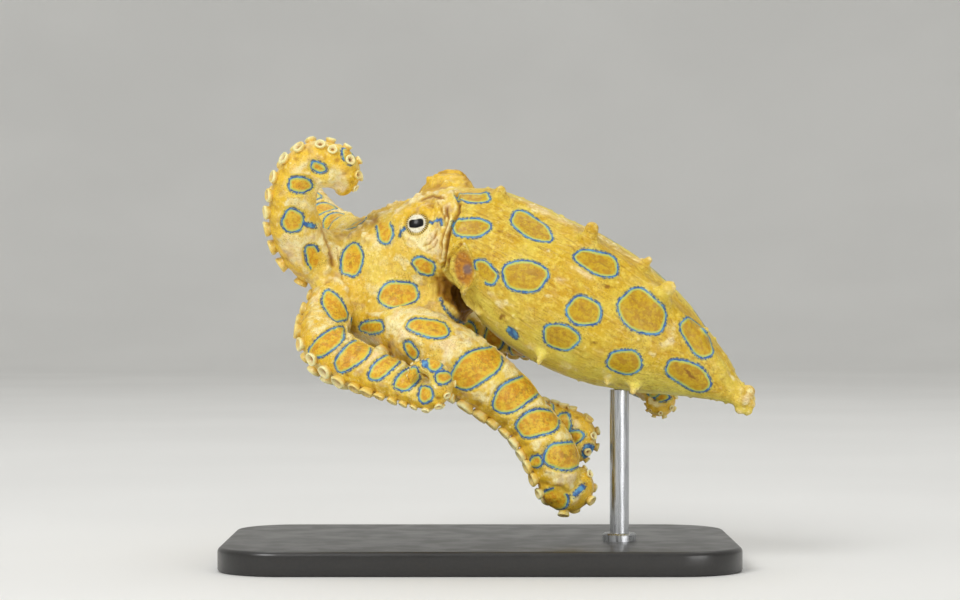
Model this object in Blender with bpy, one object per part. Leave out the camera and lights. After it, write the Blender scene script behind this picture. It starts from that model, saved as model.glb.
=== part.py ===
"""A greater blue-ringed octopus, swimming, at life size, on a small display stand.

Lengths are millimetres up to the point where a mesh is made, which is in metres.
X runs to the right, Y away from the viewer and Z up. The origin is the middle of
the base's underside.
"""

import math

import bmesh
import bpy
import numpy as np
from mathutils import Vector

MM = 0.001
GAP = 0.3  # kept between faces that meet
CLEARANCE = 0.4  # the same where one of the faces is cut to fit round the other

# The pose is laid out as it is seen from the front: across and up are read on an
# upright plane through the animal, and away is the distance behind that plane.
VIEW_DISTANCE = 333.3
EYE_HEIGHT = 33.0
PLANE_Y = -4.0

# The animal's own directions. It swims head away to the left, back to the viewer.
RIGHT = np.array((0.365, 0.810, 0.467))
MANTLE_AXIS = np.array((0.855, -0.090, -0.510))
MANTLE_BACK = np.array((0.371, -0.585, 0.726))
HEAD_AXIS = np.array((-0.705, 0.565, -0.430))
HEAD_BACK = np.array((-0.612, -0.172, 0.777))
NECK_AXIS = np.array((-0.921, 0.387, 0.047))

BODY_SIDES = 20
ARM_SIDES = 10
RING_STEP = 2.0  # along an arm, at its thick end
SPLINE_STEPS = 24

# Display stand
BASE_SIZE = (64.0, 40.0, 3.0)
BASE_CORNER = 8.0
BASE_CHAMFER = 0.6
ROD_RADIUS = 1.2
ROD_PLACE = (17.4, -4.4)
ROD_SIDES = 16


def unit(v):
    v = np.asarray(v, float)
    return v / np.linalg.norm(v)


def seen(across, up, away):
    """The place in space of a point given as it is seen."""
    spread = 1 + away / VIEW_DISTANCE
    return np.array((across * spread, away + PLANE_Y, up * spread + EYE_HEIGHT))


def spline(rows, count):
    """A smooth curve through the rows, as evenly spaced rows over their index."""
    rows = np.asarray(rows, float)
    ends = np.vstack([2 * rows[0] - rows[1], rows, 2 * rows[-1] - rows[-2]])
    curve = []
    for t in np.linspace(0, len(rows) - 1, count):
        k = min(int(t), len(rows) - 2)
        f = t - k
        a, b, c, d = ends[k : k + 4]
        linear = (c - a) * f
        square = (2 * a - 5 * b + 4 * c - d) * f**2
        cubic = (3 * b - a - 3 * c + d) * f**3
        curve.append(0.5 * (2 * b + linear + square + cubic))
    return np.array(curve)


def mesh_object(name, bm, colour=None):
    """A new object from a bmesh in millimetres, with its faces pointing out."""
    bmesh.ops.recalc_face_normals(bm, faces=bm.faces[:])
    bmesh.ops.scale(bm, vec=(MM, MM, MM), verts=bm.verts[:])
    mesh = bpy.data.meshes.new(name)
    bm.to_mesh(mesh)
    bm.free()
    mesh.shade_smooth()
    obj = bpy.data.objects.new(name, mesh)
    bpy.context.scene.collection.objects.link(obj)
    if colour:
        obj.data.materials.append(colour)
    return obj


def lofted(name, rings, colour=None):
    """A closed solid through rings of points, capped at both ends."""
    bm = bmesh.new()
    loops = [[bm.verts.new(p) for p in ring] for ring in rings]
    for near, far in zip(loops, loops[1:]):
        for i in range(len(near)):
            j = (i + 1) % len(near)
            bm.faces.new((near[i], near[j], far[j], far[i]))
    bm.faces.new(loops[0][::-1])
    bm.faces.new(loops[-1])
    return mesh_object(name, bm, colour)


def fused(target, helpers, operation="UNION", solver="EXACT"):
    """Joins closed helpers to the target, or cuts them out of it, and removes them."""
    group = bpy.data.collections.new("helpers")
    for helper in helpers:
        bpy.context.scene.collection.objects.unlink(helper)
        group.objects.link(helper)
    modifier = target.modifiers.new("join", "BOOLEAN")
    modifier.operand_type = "COLLECTION"
    modifier.collection = group
    modifier.operation = operation
    modifier.solver = solver
    bpy.context.view_layer.update()
    graph = bpy.context.evaluated_depsgraph_get()
    joined = bpy.data.meshes.new_from_object(target.evaluated_get(graph))
    target.modifiers.remove(modifier)
    target.data = joined
    for helper in helpers:
        bpy.data.objects.remove(helper)
    bpy.data.collections.remove(group)
    keep_largest(target)
    return target


def keep_largest(obj):
    """Drops every closed surface but the one with the largest volume."""
    bm = bmesh.new()
    bm.from_mesh(obj.data)
    unseen = set(bm.verts)
    groups = []
    while unseen:
        group = {unseen.pop()}
        front = list(group)
        while front:
            for edge in front.pop().link_edges:
                for vert in edge.verts:
                    if vert in unseen:
                        unseen.remove(vert)
                        group.add(vert)
                        front.append(vert)
        groups.append(group)

    def volume(group):
        total = 0.0
        for face in {f for v in group for f in v.link_faces}:
            corners = [v.co for v in face.verts]
            for b, c in zip(corners[1:], corners[2:]):
                total += corners[0].dot(b.cross(c))
        return total

    largest = max(groups, key=volume)
    bmesh.ops.delete(bm, geom=[v for v in bm.verts if v not in largest], context="VERTS")
    bm.to_mesh(obj.data)
    bm.free()


def coloured(name, colour, roughness, metallic=0.0):
    material = bpy.data.materials.new(name)
    material.use_nodes = True
    shader = material.node_tree.nodes["Principled BSDF"]
    shader.inputs["Base Color"].default_value = (*colour, 1.0)
    shader.inputs["Roughness"].default_value = roughness
    shader.inputs["Metallic"].default_value = metallic
    return material


def section(centre, axis, back, half_side, half_back, half_front, sides):
    """One ring of a body: half widths to the side, toward the back and the belly."""
    axis = unit(axis)
    back = unit(back - axis * np.dot(back, axis))
    side = np.cross(axis, back)
    ring = []
    for angle in np.arange(sides) * 2 * math.pi / sides:
        height = half_back if math.cos(angle) > 0 else half_front
        ring.append(centre + back * math.cos(angle) * height + side * math.sin(angle) * half_side)
    return ring


def body(name, stations, rings, colour=None):
    """A body through stations of place, half widths, axis and back direction."""
    rows = [(*at, *halves, *axis, *back) for at, halves, axis, back in stations]
    curve = spline(rows, rings)
    loops = [
        section(row[:3], row[6:9], row[9:12], *row[3:6], BODY_SIDES) for row in curve
    ]
    return lofted(name, loops, colour)


# Mantle: seen place of its middle, then half widths to the side, back and belly.
NECK_FACE = (-2.7, 8.3, 1.3)
MANTLE_STATIONS = (
    (seen(-2.4, 8.2, 1.2), (6.6, 5.6, 6.2), -NECK_AXIS, MANTLE_BACK),
    (seen(0.6, 7.2, 1.2), (7.6, 6.6, 7.4), (0.93, -0.25, -0.26), MANTLE_BACK),
    (seen(5.2, 3.8, 0.9), (8.9, 7.9, 8.2), MANTLE_AXIS, MANTLE_BACK),
    (seen(10.6, 0.5, 0.3), (9.5, 8.8, 8.8), MANTLE_AXIS, MANTLE_BACK),
    (seen(16.6, -2.7, -0.4), (8.8, 8.2, 8.4), MANTLE_AXIS, MANTLE_BACK),
    (seen(22.3, -5.6, -1.0), (6.9, 6.4, 6.6), MANTLE_AXIS, MANTLE_BACK),
    (seen(26.4, -7.9, -1.5), (4.7, 4.4, 4.6), MANTLE_AXIS, MANTLE_BACK),
    (seen(29.4, -9.7, -1.8), (3.2, 2.9, 3.0), MANTLE_AXIS, MANTLE_BACK),
    (seen(31.4, -11.2, -2.1), (2.2, 2.1, 2.0), MANTLE_AXIS, MANTLE_BACK),
    (seen(33.2, -12.3, -2.3), (1.8, 1.7, 1.7), MANTLE_AXIS, MANTLE_BACK),
    (seen(34.4, -12.8, -2.4), (0.9, 0.9, 0.9), MANTLE_AXIS, MANTLE_BACK),
)
MANTLE_RINGS = 25

# Head: from the neck to the crown that carries the arms.
CROWN_CENTRE = seen(-13.3, 2.2, 9.5)
CROWN_BACK = 5.0  # from the arms' common plane back to the head's last ring
HEAD_STATIONS = (
    (seen(*NECK_FACE), (6.4, 5.4, 6.0), NECK_AXIS, HEAD_BACK),
    (seen(-4.6, 7.6, 2.7), (6.9, 6.0, 6.3), (-0.84, 0.49, -0.17), HEAD_BACK),
    (seen(-6.6, 6.5, 4.3), (7.3, 6.6, 6.6), HEAD_AXIS, HEAD_BACK),
    (seen(-8.3, 5.5, 5.6), (7.6, 7.2, 6.4), HEAD_AXIS, HEAD_BACK),
    (CROWN_CENTRE - HEAD_AXIS * CROWN_BACK, (7.6, 7.5, 6.1), HEAD_AXIS, HEAD_BACK),
)
HEAD_RINGS = 10

# Crown: distance along the head's axis from the arms' common plane, and half widths.
# The last three rings are the lip and the dimple of the mouth.
CROWN_STATIONS = (
    (GAP - CROWN_BACK, (7.5, 7.4, 6.1)),
    (-2.6, (7.8, 7.7, 6.6)),
    (0.0, (7.2, 7.0, 6.6)),
    (2.0, (5.4, 5.2, 5.2)),
    (3.0, (3.2, 3.1, 3.1)),
    (3.5, (2.1, 2.1, 2.1)),
    (3.5, (1.3, 1.3, 1.3)),
    (2.7, (0.8, 0.8, 0.8)),
)

# Eyes: seen place of the ball's middle, and the way it looks
EYE_RADIUS = 1.9
EYES = {
    "eye_left": ((-7.8, 9.4, -1.3), (-0.25, -0.93, 0.27)),
    "eye_right": ((-3.7, 13.9, 8.0), (0.05, 0.75, 0.65)),
}
EYE_MOUND = 3.2
EYE_MOUND_DEPTH = 1.6
LID_REACH = 2.35  # middle of the swollen rim round the eye
LID_THICKNESS = 0.6
LID_HEIGHT = 1.1

# Papillae of the mantle: seen place, the way they point, half width and half length
PAPILLAE = (
    ((13.9, 8.2, -0.4), (0.25, -0.2, 0.95), 0.75, 1.35),
    ((20.4, 4.1, -0.8), (0.4, 0.0, 0.9), 0.55, 0.95),
    ((23.3, 1.3, -1.0), (0.4, -0.1, 0.9), 0.85, 1.35),
    ((28.3, -4.2, -1.8), (0.7, 0.0, 0.7), 0.4, 0.8),
    ((7.5, -7.2, -3.2), (-0.2, -0.3, -0.95), 0.5, 1.15),
    ((16.6, -10.7, -3.0), (0.0, -0.4, -0.9), 0.45, 0.8),
    ((19.1, -11.3, -3.0), (0.1, -0.3, -0.95), 0.5, 0.95),
    ((2.2, 13.7, -0.6), (-0.1, -0.1, 0.98), 1.0, 0.9),
    ((33.6, -11.0, -3.0), (0.3, -0.3, 0.9), 0.7, 1.1),
    ((34.0, -13.4, -2.6), (0.5, -0.2, -0.8), 0.6, 0.9),
)

# Free edge of the mantle on the near side: seen middle, facing, half sizes
FLAP = ((-2.2, 4.1, -5.2), (-0.55, -0.80, -0.20), (1.7, 3.1, 0.75))

# Funnel
FUNNEL_PATH = ((-1.2, 1.2, 5.0, 2.4), (-2.6, -0.2, 6.4, 2.1), (-4.2, -1.8, 8.2, 1.6))

# Arms, counted from the back: seen place and radius at points along each, the way
# the suckers face there, and the curl at the end: its radius at the start and at
# the tip, how far it turns, and how far it drifts sideways for each millimetre.
ARM_ANGLES = {"1": 22.5, "2": 67.5, "3": 112.5, "4": 157.5}
ARM_START = 1.6
ARM_REACH = 6.2
ARM_RADIUS = 2.7
TIP_RADIUS = 0.35
TAPER = 1.4

ARMS = {
    "left_1": {
        "points": (
            (-21.0, 5.2, 4.2, 3.3),
            (-23.2, 8.8, 1.4, 3.3),
            (-23.6, 12.6, -0.8, 3.05),
            (-22.8, 16.0, -2.0, 2.65),
            (-20.6, 18.1, -2.6, 2.2),
            (-18.6, 18.0, -2.8, 1.9),
        ),
        "oral": ((-0.6, 0.5, -0.6), (-0.9, 0.4, 0.0), (-1.0, 0.1, 0.2),
                 (-0.8, 0.0, 0.6), (-0.3, -0.2, 0.9), (0.3, -0.5, 0.8)),
        "curl": (2.3, 1.7, 190.0, 0.4),
        "cuts": (10.6, 19.4, 26.0),
    },
    "left_2": {
        "points": (
            (-19.2, -2.4, 1.6, 3.1),
            (-19.5, -5.6, -2.6, 3.1),
            (-16.3, -8.0, -5.6, 2.95),
            (-12.7, -9.3, -7.6, 2.7),
            (-9.5, -10.7, -8.8, 2.3),
            (-7.2, -11.9, -9.6, 1.8),
        ),
        "oral": ((-0.9, 0.3, -0.4), (-0.8, -0.3, -0.6), (-0.3, -0.2, -0.95),
                 (-0.25, 0.1, -0.95), (-0.25, 0.2, -0.95), (-0.2, 0.2, -0.95)),
        "curl": (2.4, 1.5, 300.0, -0.22),
        "cuts": (10.0, 19.0, 28.4),
    },
    "left_3": {
        "points": (
            (-11.8, -2.9, 2.2, 3.5),
            (-7.8, -4.9, -1.4, 4.0),
            (-3.7, -7.3, -2.9, 4.05),
            (0.0, -9.9, -3.3, 3.85),
            (3.3, -12.4, -3.3, 3.5),
            (6.3, -15.5, -3.3, 3.1),
            (8.2, -18.9, -3.3, 2.9),
            (9.0, -21.6, -3.1, 2.6),
            (9.0, -23.2, -2.9, 2.4),
        ),
        "oral": ((-0.6, -0.2, -0.8), (-0.3, 0.3, -0.9), (-0.45, 0.4, -0.75),
                 (-0.55, 0.35, -0.7), (-0.6, 0.35, -0.65), (-0.75, 0.3, -0.5),
                 (-0.95, 0.25, -0.2), (-1.0, 0.15, 0.0), (-1.0, 0.1, -0.1)),
        "curl": (2.3, 1.6, 240.0, 0.25),
        "cuts": (12.0, 24.0, 36.0),
    },
    "left_4": {
        "points": (
            (-8.8, -5.6, 8.6, 3.0),
            (-4.6, -8.0, 7.8, 2.9),
            (0.2, -11.0, 6.6, 2.7),
            (4.6, -13.6, 5.2, 2.4),
            (8.9, -15.1, 3.9, 2.3),
            (11.6, -15.6, 2.7, 2.1),
        ),
        "oral": ((0.3, -0.1, -0.9), (0.1, 0.3, -0.9), (-0.1, 0.7, -0.6),
                 (0.0, 0.9, 0.1), (0.1, 0.7, 0.7), (0.2, 0.3, 0.95)),
        "curl": (2.2, 1.5, 225.0, -0.12),
        "cuts": (9.0, 18.0, 27.4),
    },
    "right_1": {
        "points": (
            (-17.4, 8.0, 13.6, 2.8),
            (-19.6, 9.8, 17.2, 2.6),
            (-21.4, 12.2, 20.6, 2.3),
            (-22.2, 15.2, 23.4, 1.9),
            (-21.0, 17.4, 26.0, 1.6),
        ),
        "oral": ((-0.7, 0.2, -0.5), (-0.8, 0.4, -0.3), (-0.9, 0.4, 0.0),
                 (-0.8, 0.5, 0.3), (-0.2, 0.7, 0.7)),
        "curl": (2.4, 1.4, 250.0, 0.1),
        "cuts": (9.0, 17.0, 25.0),
    },
    "right_2": {
        "points": (
            (-11.8, 7.4, 18.6, 2.9),
            (-8.8, 8.0, 23.2, 2.7),
            (-4.6, 7.4, 26.0, 2.4),
            (0.0, 6.0, 27.2, 2.0),
            (3.6, 4.2, 27.2, 1.7),
        ),
        "oral": ((-0.4, 0.3, 0.9), (-0.2, 0.8, 0.6), (0.1, 0.9, 0.4),
                 (0.2, 0.9, 0.2), (0.3, 0.9, 0.1)),
        "curl": (2.4, 1.4, 250.0, 0.1),
        "cuts": (9.0, 17.0, 25.0),
    },
    "right_3": {
        "points": (
            (-7.2, 1.2, 18.6, 2.9),
            (-3.6, 1.0, 21.4, 2.8),
            (1.4, 0.0, 22.2, 2.5),
            (6.6, -1.8, 22.0, 2.2),
            (11.2, -3.6, 21.2, 1.9),
        ),
        "oral": ((0.2, 0.6, -0.2), (-0.2, 0.9, 0.2), (0.0, 1.0, 0.0),
                 (0.0, 1.0, -0.1), (0.2, 0.9, -0.3)),
        "curl": (2.4, 1.4, 250.0, 0.1),
        "cuts": (9.0, 17.0, 27.0),
    },
    "right_4": {
        "points": (
            (-6.2, -3.0, 13.6, 3.0),
            (-1.0, -3.8, 15.2, 2.8),
            (5.0, -4.6, 15.4, 2.6),
            (11.6, -6.6, 14.2, 2.3),
            (18.0, -9.4, 12.4, 2.0),
            (23.0, -11.9, 11.0, 1.7),
        ),
        "oral": ((0.4, 0.2, -0.8), (0.0, 0.6, -0.7), (-0.1, 0.8, -0.5),
                 (-0.1, 0.9, 0.1), (0.2, 0.7, 0.6), (0.6, 0.4, 0.7)),
        "curl": (2.0, 1.2, 255.0, 0.1),
        "cuts": (9.0, 21.0, 33.0),
    },
}

# Suckers, in two rows that alternate
SUCKER_SIDES = 6
SUCKER_SIZE = 0.34  # of the arm's radius
SUCKER_LEAST = 0.26
SUCKER_TURN = math.radians(31)  # of each row from the middle of the arm's oral side
SUCKER_RISE = 0.8  # of a sucker's own radius, how far its rim stands out
SUCKER_ROOT = 0.75  # the same, how deep it is sunk
SUCKER_DISH = 0.25
SUCKER_STEP = 0.56  # from one sucker to the next across the rows, of the arm's radius
SUCKER_STEP_LEAST = 0.42
FIRST_SUCKER = 4.6
ORAL_FLAT = 0.86

WEB_REACH = 7.4
WEB_SAG = 0.3
WEB_THICKNESS = 1.0
WEB_ACROSS = 4
WEB_ALONG = 3


def arm_base_direction(arm):
    """The way an arm leaves the crown, at right angles to the head's axis."""
    side, number = arm.split("_")
    toward = RIGHT if side == "right" else -RIGHT
    turn = math.radians(ARM_ANGLES[number])
    return unit(toward * math.sin(turn) + HEAD_BACK * math.cos(turn))


class Arm:
    """An arm's middle line, its radius and the way its suckers face, by length."""

    def __init__(self, arm):
        spec = ARMS[arm]
        out = arm_base_direction(arm)
        rows = [
            (*(CROWN_CENTRE + out * ARM_START), ARM_RADIUS, *HEAD_AXIS),
            (*(CROWN_CENTRE + out * ARM_REACH), spec["points"][0][3], *HEAD_AXIS),
        ]
        for (across, up, away, radius), oral in zip(spec["points"], spec["oral"]):
            rows.append((*seen(across, up, away), radius, *unit(oral)))
        curve = spline(rows, (len(rows) - 1) * SPLINE_STEPS + 1)
        curve = np.vstack([curve, self.curl(curve, *spec["curl"])])
        steps = np.linalg.norm(np.diff(curve[:, :3], axis=0), axis=1)
        self.along = np.concatenate([[0.0], np.cumsum(steps)])
        self.curve = curve
        self.length = self.along[-1]
        self.cuts = spec["cuts"]

    @staticmethod
    def curl(curve, start, end, turn, drift):
        """The rows of a narrowing coil that turns away from the suckers' side."""
        place = curve[-1, :3].copy()
        radius = curve[-1, 3]
        ahead = unit(curve[-1, :3] - curve[-2, :3])
        oral = curve[-1, 4:7]
        oral = unit(oral - ahead * np.dot(oral, ahead))
        side = np.cross(ahead, oral)
        count = int(turn / 8)
        rows = []
        for i in range(1, count + 1):
            share = i / count
            angle = math.radians(turn) * share
            bend = start + (end - start) * share
            forward = ahead * math.cos(angle) - oral * math.sin(angle)
            outward = oral * math.cos(angle) + ahead * math.sin(angle)
            place = place + (forward + side * drift) * bend * math.radians(turn) / count
            thickness = radius + (TIP_RADIUS - radius) * share**TAPER
            rows.append((*place, thickness, *outward))
        return np.array(rows)

    def at(self, length):
        """Place, forward, oral, side and radius at a length along the arm."""
        row = [np.interp(length, self.along, column) for column in self.curve.T]
        step = 0.2
        before = [np.interp(length - step, self.along, c) for c in self.curve.T[:3]]
        after = [np.interp(length + step, self.along, c) for c in self.curve.T[:3]]
        forward = unit(np.subtract(after, before))
        oral = np.array(row[4:7])
        oral = unit(oral - forward * np.dot(oral, forward))
        return np.array(row[:3]), forward, oral, np.cross(forward, oral), row[3]

    def ring(self, length):
        place, _, oral, side, radius = self.at(length)
        ring = []
        for angle in np.arange(ARM_SIDES) * 2 * math.pi / ARM_SIDES:
            flat = ORAL_FLAT if math.cos(angle) > 0 else 1.0
            ring.append(
                place + oral * math.cos(angle) * radius * flat + side * math.sin(angle) * radius
            )
        return ring

    def suckers(self, start, end):
        """Closed cups along the oral side, clear of both ends of the stretch."""
        cups = []
        row = 1
        length = start
        while True:
            radius = self.at(length)[4]
            size = max(SUCKER_LEAST, SUCKER_SIZE * radius)
            if not cups:
                length = start + size + GAP / 2
            if length + size + GAP / 2 > end:
                return cups
            place, _, oral, side, radius = self.at(length)
            across = math.sin(SUCKER_TURN) * side * row
            out = math.cos(SUCKER_TURN) * oral
            root = place + (out * ORAL_FLAT + across) * radius
            cups.append(sucker(root, unit(out + across), side, size))
            row = -row
            length += SUCKER_STEP * radius + SUCKER_STEP_LEAST

    def stretch(self, name, start, end, colour=None):
        """The solid of the arm between two lengths."""
        lengths = [start]
        while lengths[-1] < end:
            lengths.append(lengths[-1] + max(0.8, RING_STEP * self.at(lengths[-1])[4] / 3))
        lengths = np.array(lengths)
        lengths = start + (lengths - start) * (end - start) / (lengths[-1] - start)
        return lofted(name, [self.ring(length) for length in lengths], colour)


def sucker(root, out, side, size):
    """A short cup with a dished top, its root sunk in the arm."""
    side = unit(side - out * np.dot(side, out))
    other = np.cross(out, side)
    bm = bmesh.new()
    loops = []
    for reach, rise in ((0.8, -SUCKER_ROOT), (1.0, SUCKER_RISE)):
        loop = []
        for angle in np.arange(SUCKER_SIDES) * 2 * math.pi / SUCKER_SIDES:
            spoke = side * math.cos(angle) + other * math.sin(angle)
            loop.append(bm.verts.new(root + (spoke * reach + out * rise) * size))
        loops.append(loop)
    dish = bm.verts.new(root + out * SUCKER_DISH * size)
    low, rim = loops
    bm.faces.new(low)
    for i in range(SUCKER_SIDES):
        j = (i + 1) % SUCKER_SIDES
        bm.faces.new((low[i], low[j], rim[j], rim[i]))
        bm.faces.new((rim[i], rim[j], dish))
    return mesh_object("sucker", bm)


def web(first, second):
    """The skin stretched between two arms, thick enough to be a solid."""
    bm = bmesh.new()
    layers = []
    for offset in (-0.5, 0.5):
        grid = []
        for i in range(WEB_ACROSS + 1):
            share = i / WEB_ACROSS
            reach = WEB_REACH * (1 - WEB_SAG * 4 * share * (1 - share) * 0.9)
            line = []
            for j in range(WEB_ALONG + 1):
                length = reach * j / WEB_ALONG
                a, _, oral_a, _, _ = first.at(length)
                b, _, oral_b, _, _ = second.at(length)
                oral = unit(oral_a * (1 - share) + oral_b * share)
                place = a * (1 - share) + b * share
                line.append(bm.verts.new(place + oral * WEB_THICKNESS * offset))
            grid.append(line)
        layers.append(grid)
    low, high = layers
    for i in range(WEB_ACROSS):
        for j in range(WEB_ALONG):
            for grid in layers:
                corners = (grid[i][j], grid[i + 1][j], grid[i + 1][j + 1], grid[i][j + 1])
                bm.faces.new((corners[0], corners[1], corners[2]))
                bm.faces.new((corners[0], corners[2], corners[3]))
    for i in range(WEB_ACROSS):
        for j in (0, WEB_ALONG):
            bm.faces.new((low[i][j], low[i + 1][j], high[i + 1][j], high[i][j]))
    for j in range(WEB_ALONG):
        for i in (0, WEB_ACROSS):
            bm.faces.new((low[i][j], low[i][j + 1], high[i][j + 1], high[i][j]))
    return mesh_object("web", bm)


def ball(name, centre, radii, axis, colour=None, segments=14, rings=8):
    """An ellipsoid with its pole along an axis: radius across it, then along it."""
    bm = bmesh.new()
    bmesh.ops.create_uvsphere(bm, u_segments=segments, v_segments=rings, radius=1.0)
    turn = Vector(axis).to_track_quat("Z", "Y")
    for vert in bm.verts:
        stretched = Vector((vert.co.x * radii[0], vert.co.y * radii[0], vert.co.z * radii[1]))
        vert.co = turn @ stretched + Vector(centre)
    return mesh_object(name, bm, colour)


def cleared(name):
    """The mantle's or the head's own form, wider by the gap, to cut a neighbour with."""
    stations, rings = {
        "mantle": (MANTLE_STATIONS, MANTLE_RINGS),
        "head": (HEAD_STATIONS, HEAD_RINGS),
    }[name]
    wider = []
    for k, (at, halves, axis, back) in enumerate(stations):
        beyond = {0: -CLEARANCE, len(stations) - 1: CLEARANCE}.get(k, 0.0)
        halves = tuple(half + CLEARANCE for half in halves)
        wider.append((at + unit(axis) * beyond, halves, axis, back))
    return body("clearance", wider, rings)


def make_mantle(skin):
    mantle = body("mantle", MANTLE_STATIONS, MANTLE_RINGS, skin)
    bumps = [
        ball("papilla", seen(*place), (width, length), out, segments=6, rings=5)
        for place, out, width, length in PAPILLAE
    ]
    place, facing, (width, height, thickness) = FLAP
    flap = ball("flap", (0.0, 0.0, 0.0), (1.0, 1.0), (0.0, 0.0, 1.0), segments=12, rings=7)
    facing = unit(facing)
    up = unit(np.array((0.0, 0.0, 1.0)) - facing * facing[2])
    across = np.cross(up, facing)
    for vert in flap.data.vertices:
        x, y, z = vert.co / MM
        vert.co = Vector(seen(*place) + across * x * width + up * y * height
                         + facing * z * thickness) * MM
    fused(mantle, [*bumps, flap])
    return fused(mantle, [cleared("head")], "DIFFERENCE")


def lid(centre, out):
    """The swollen rim round an eye."""
    turn = Vector(out).to_track_quat("Z", "Y")
    rings = []
    for around in np.arange(14) * 2 * math.pi / 14:
        spoke = Vector((math.cos(around), math.sin(around), 0.0))
        ring = []
        for roll in np.arange(6) * 2 * math.pi / 6:
            reach = LID_REACH + LID_THICKNESS * math.cos(roll)
            rise = LID_HEIGHT + LID_THICKNESS * math.sin(roll)
            ring.append(turn @ (spoke * reach + Vector((0.0, 0.0, rise))) + Vector(centre))
        rings.append(ring)
    bm = bmesh.new()
    loops = [[bm.verts.new(p) for p in ring] for ring in rings]
    for near, far in zip(loops, loops[1:] + loops[:1]):
        for i in range(6):
            j = (i + 1) % 6
            bm.faces.new((near[i], near[j], far[j], far[i]))
    return mesh_object("lid", bm)


def make_head(skin, eye_colour):
    head = body("head", HEAD_STATIONS, HEAD_RINGS, skin)
    mounds = []
    sockets = []
    for name, (place, out) in EYES.items():
        out = unit(out)
        centre = seen(*place)
        mounds.append(
            ball("mound", centre - out * EYE_MOUND_DEPTH, (EYE_MOUND, EYE_MOUND), out)
        )
        mounds.append(lid(centre, out))
        sockets.append(ball("socket", centre, (EYE_RADIUS + GAP,) * 2, out))
        ball(name, centre, (EYE_RADIUS, EYE_RADIUS), out, eye_colour)
    fused(head, mounds)
    fused(head, sockets, "DIFFERENCE")
    return head


def make_funnel(skin):
    rows = [(*seen(across, up, away), radius) for across, up, away, radius in FUNNEL_PATH]
    curve = spline(rows, 7)
    loops = []
    for k, row in enumerate(curve):
        ahead = curve[min(k + 1, 6), :3] - curve[max(k - 1, 0), :3]
        loops.append(section(row[:3], ahead, HEAD_BACK, row[3], row[3], row[3], 12))
    funnel = lofted("funnel", loops, skin)
    return fused(funnel, [cleared("mantle"), cleared("head")], "DIFFERENCE")


def make_crown(arms, skin):
    loops = []
    for distance, halves in CROWN_STATIONS:
        centre = CROWN_CENTRE + HEAD_AXIS * distance
        loops.append(section(centre, HEAD_AXIS, HEAD_BACK, *halves, BODY_SIDES))
    crown = lofted("crown", loops, skin)
    order = ("left_1", "left_2", "left_3", "left_4", "right_4", "right_3", "right_2", "right_1")
    pieces = [
        arms[arm].stretch("stub", 0.0, arms[arm].cuts[0] - GAP / 2) for arm in order
    ]
    pieces += [web(arms[a], arms[b]) for a, b in zip(order, order[1:] + order[:1])]
    for arm in order:
        pieces += arms[arm].suckers(FIRST_SUCKER, arms[arm].cuts[0] - GAP / 2)
    fused(crown, pieces)
    return fused(crown, [cleared("head")], "DIFFERENCE")


def make_arm(arm, line, skin):
    ends = (*line.cuts, line.length + GAP / 2)
    for part, start, end in zip(("base", "middle", "tip"), ends, ends[1:]):
        start += GAP / 2
        end -= GAP / 2
        length = line.stretch(f"arm_{arm}_{part}", start, end, skin)
        fused(length, line.suckers(start, end))


def make_stand(base_colour, rod_colour):
    width, depth, height = BASE_SIZE
    corners = []
    for cx, cy, start in ((1, 1, 0), (-1, 1, 90), (-1, -1, 180), (1, -1, 270)):
        for k in range(7):
            turn = math.radians(start + 15 * k)
            corners.append((cx * (width / 2 - BASE_CORNER) + BASE_CORNER * math.cos(turn),
                            cy * (depth / 2 - BASE_CORNER) + BASE_CORNER * math.sin(turn)))
    levels = ((0.0, 0.0), (height - BASE_CHAMFER, 0.0), (height, BASE_CHAMFER))
    rings = []
    for level, inset in levels:
        shrink_x = 1 - 2 * inset / width
        shrink_y = 1 - 2 * inset / depth
        rings.append([(x * shrink_x, y * shrink_y, level) for x, y in corners])
    lofted("stand_base", rings, base_colour)

    x, y = ROD_PLACE
    top = EYE_HEIGHT - 6.0
    circle = [
        (x + ROD_RADIUS * math.cos(2 * math.pi * k / ROD_SIDES),
         y + ROD_RADIUS * math.sin(2 * math.pi * k / ROD_SIDES))
        for k in range(ROD_SIDES)
    ]
    rod = lofted(
        "stand_rod",
        [[(px, py, z) for px, py in circle] for z in (height + GAP, top)],
        rod_colour,
    )
    fused(rod, [cleared("mantle")], "DIFFERENCE")


def main():
    for obj in list(bpy.data.objects):
        bpy.data.objects.remove(obj)
    skin = coloured("skin", (0.72, 0.50, 0.13), 0.45)
    eye_colour = coloured("eye", (0.86, 0.88, 0.82), 0.12)
    base_colour = coloured("stand_base", (0.05, 0.05, 0.055), 0.4)
    rod_colour = coloured("stand_rod", (0.62, 0.62, 0.63), 0.3, 1.0)

    arms = {arm: Arm(arm) for arm in ARMS}
    make_mantle(skin)
    make_head(skin, eye_colour)
    make_funnel(skin)
    make_crown(arms, skin)
    for arm, line in arms.items():
        make_arm(arm, line, skin)
    make_stand(base_colour, rod_colour)


main()
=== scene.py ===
"""A greater blue-ringed octopus on its display stand: skin, suckers, eyes and studio.

Forms are laid out in millimetres and turned into metres where a mesh is made.
"""

import math

import bpy
import numpy as np
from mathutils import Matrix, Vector
from mathutils.bvhtree import BVHTree
from mathutils.kdtree import KDTree


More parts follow.
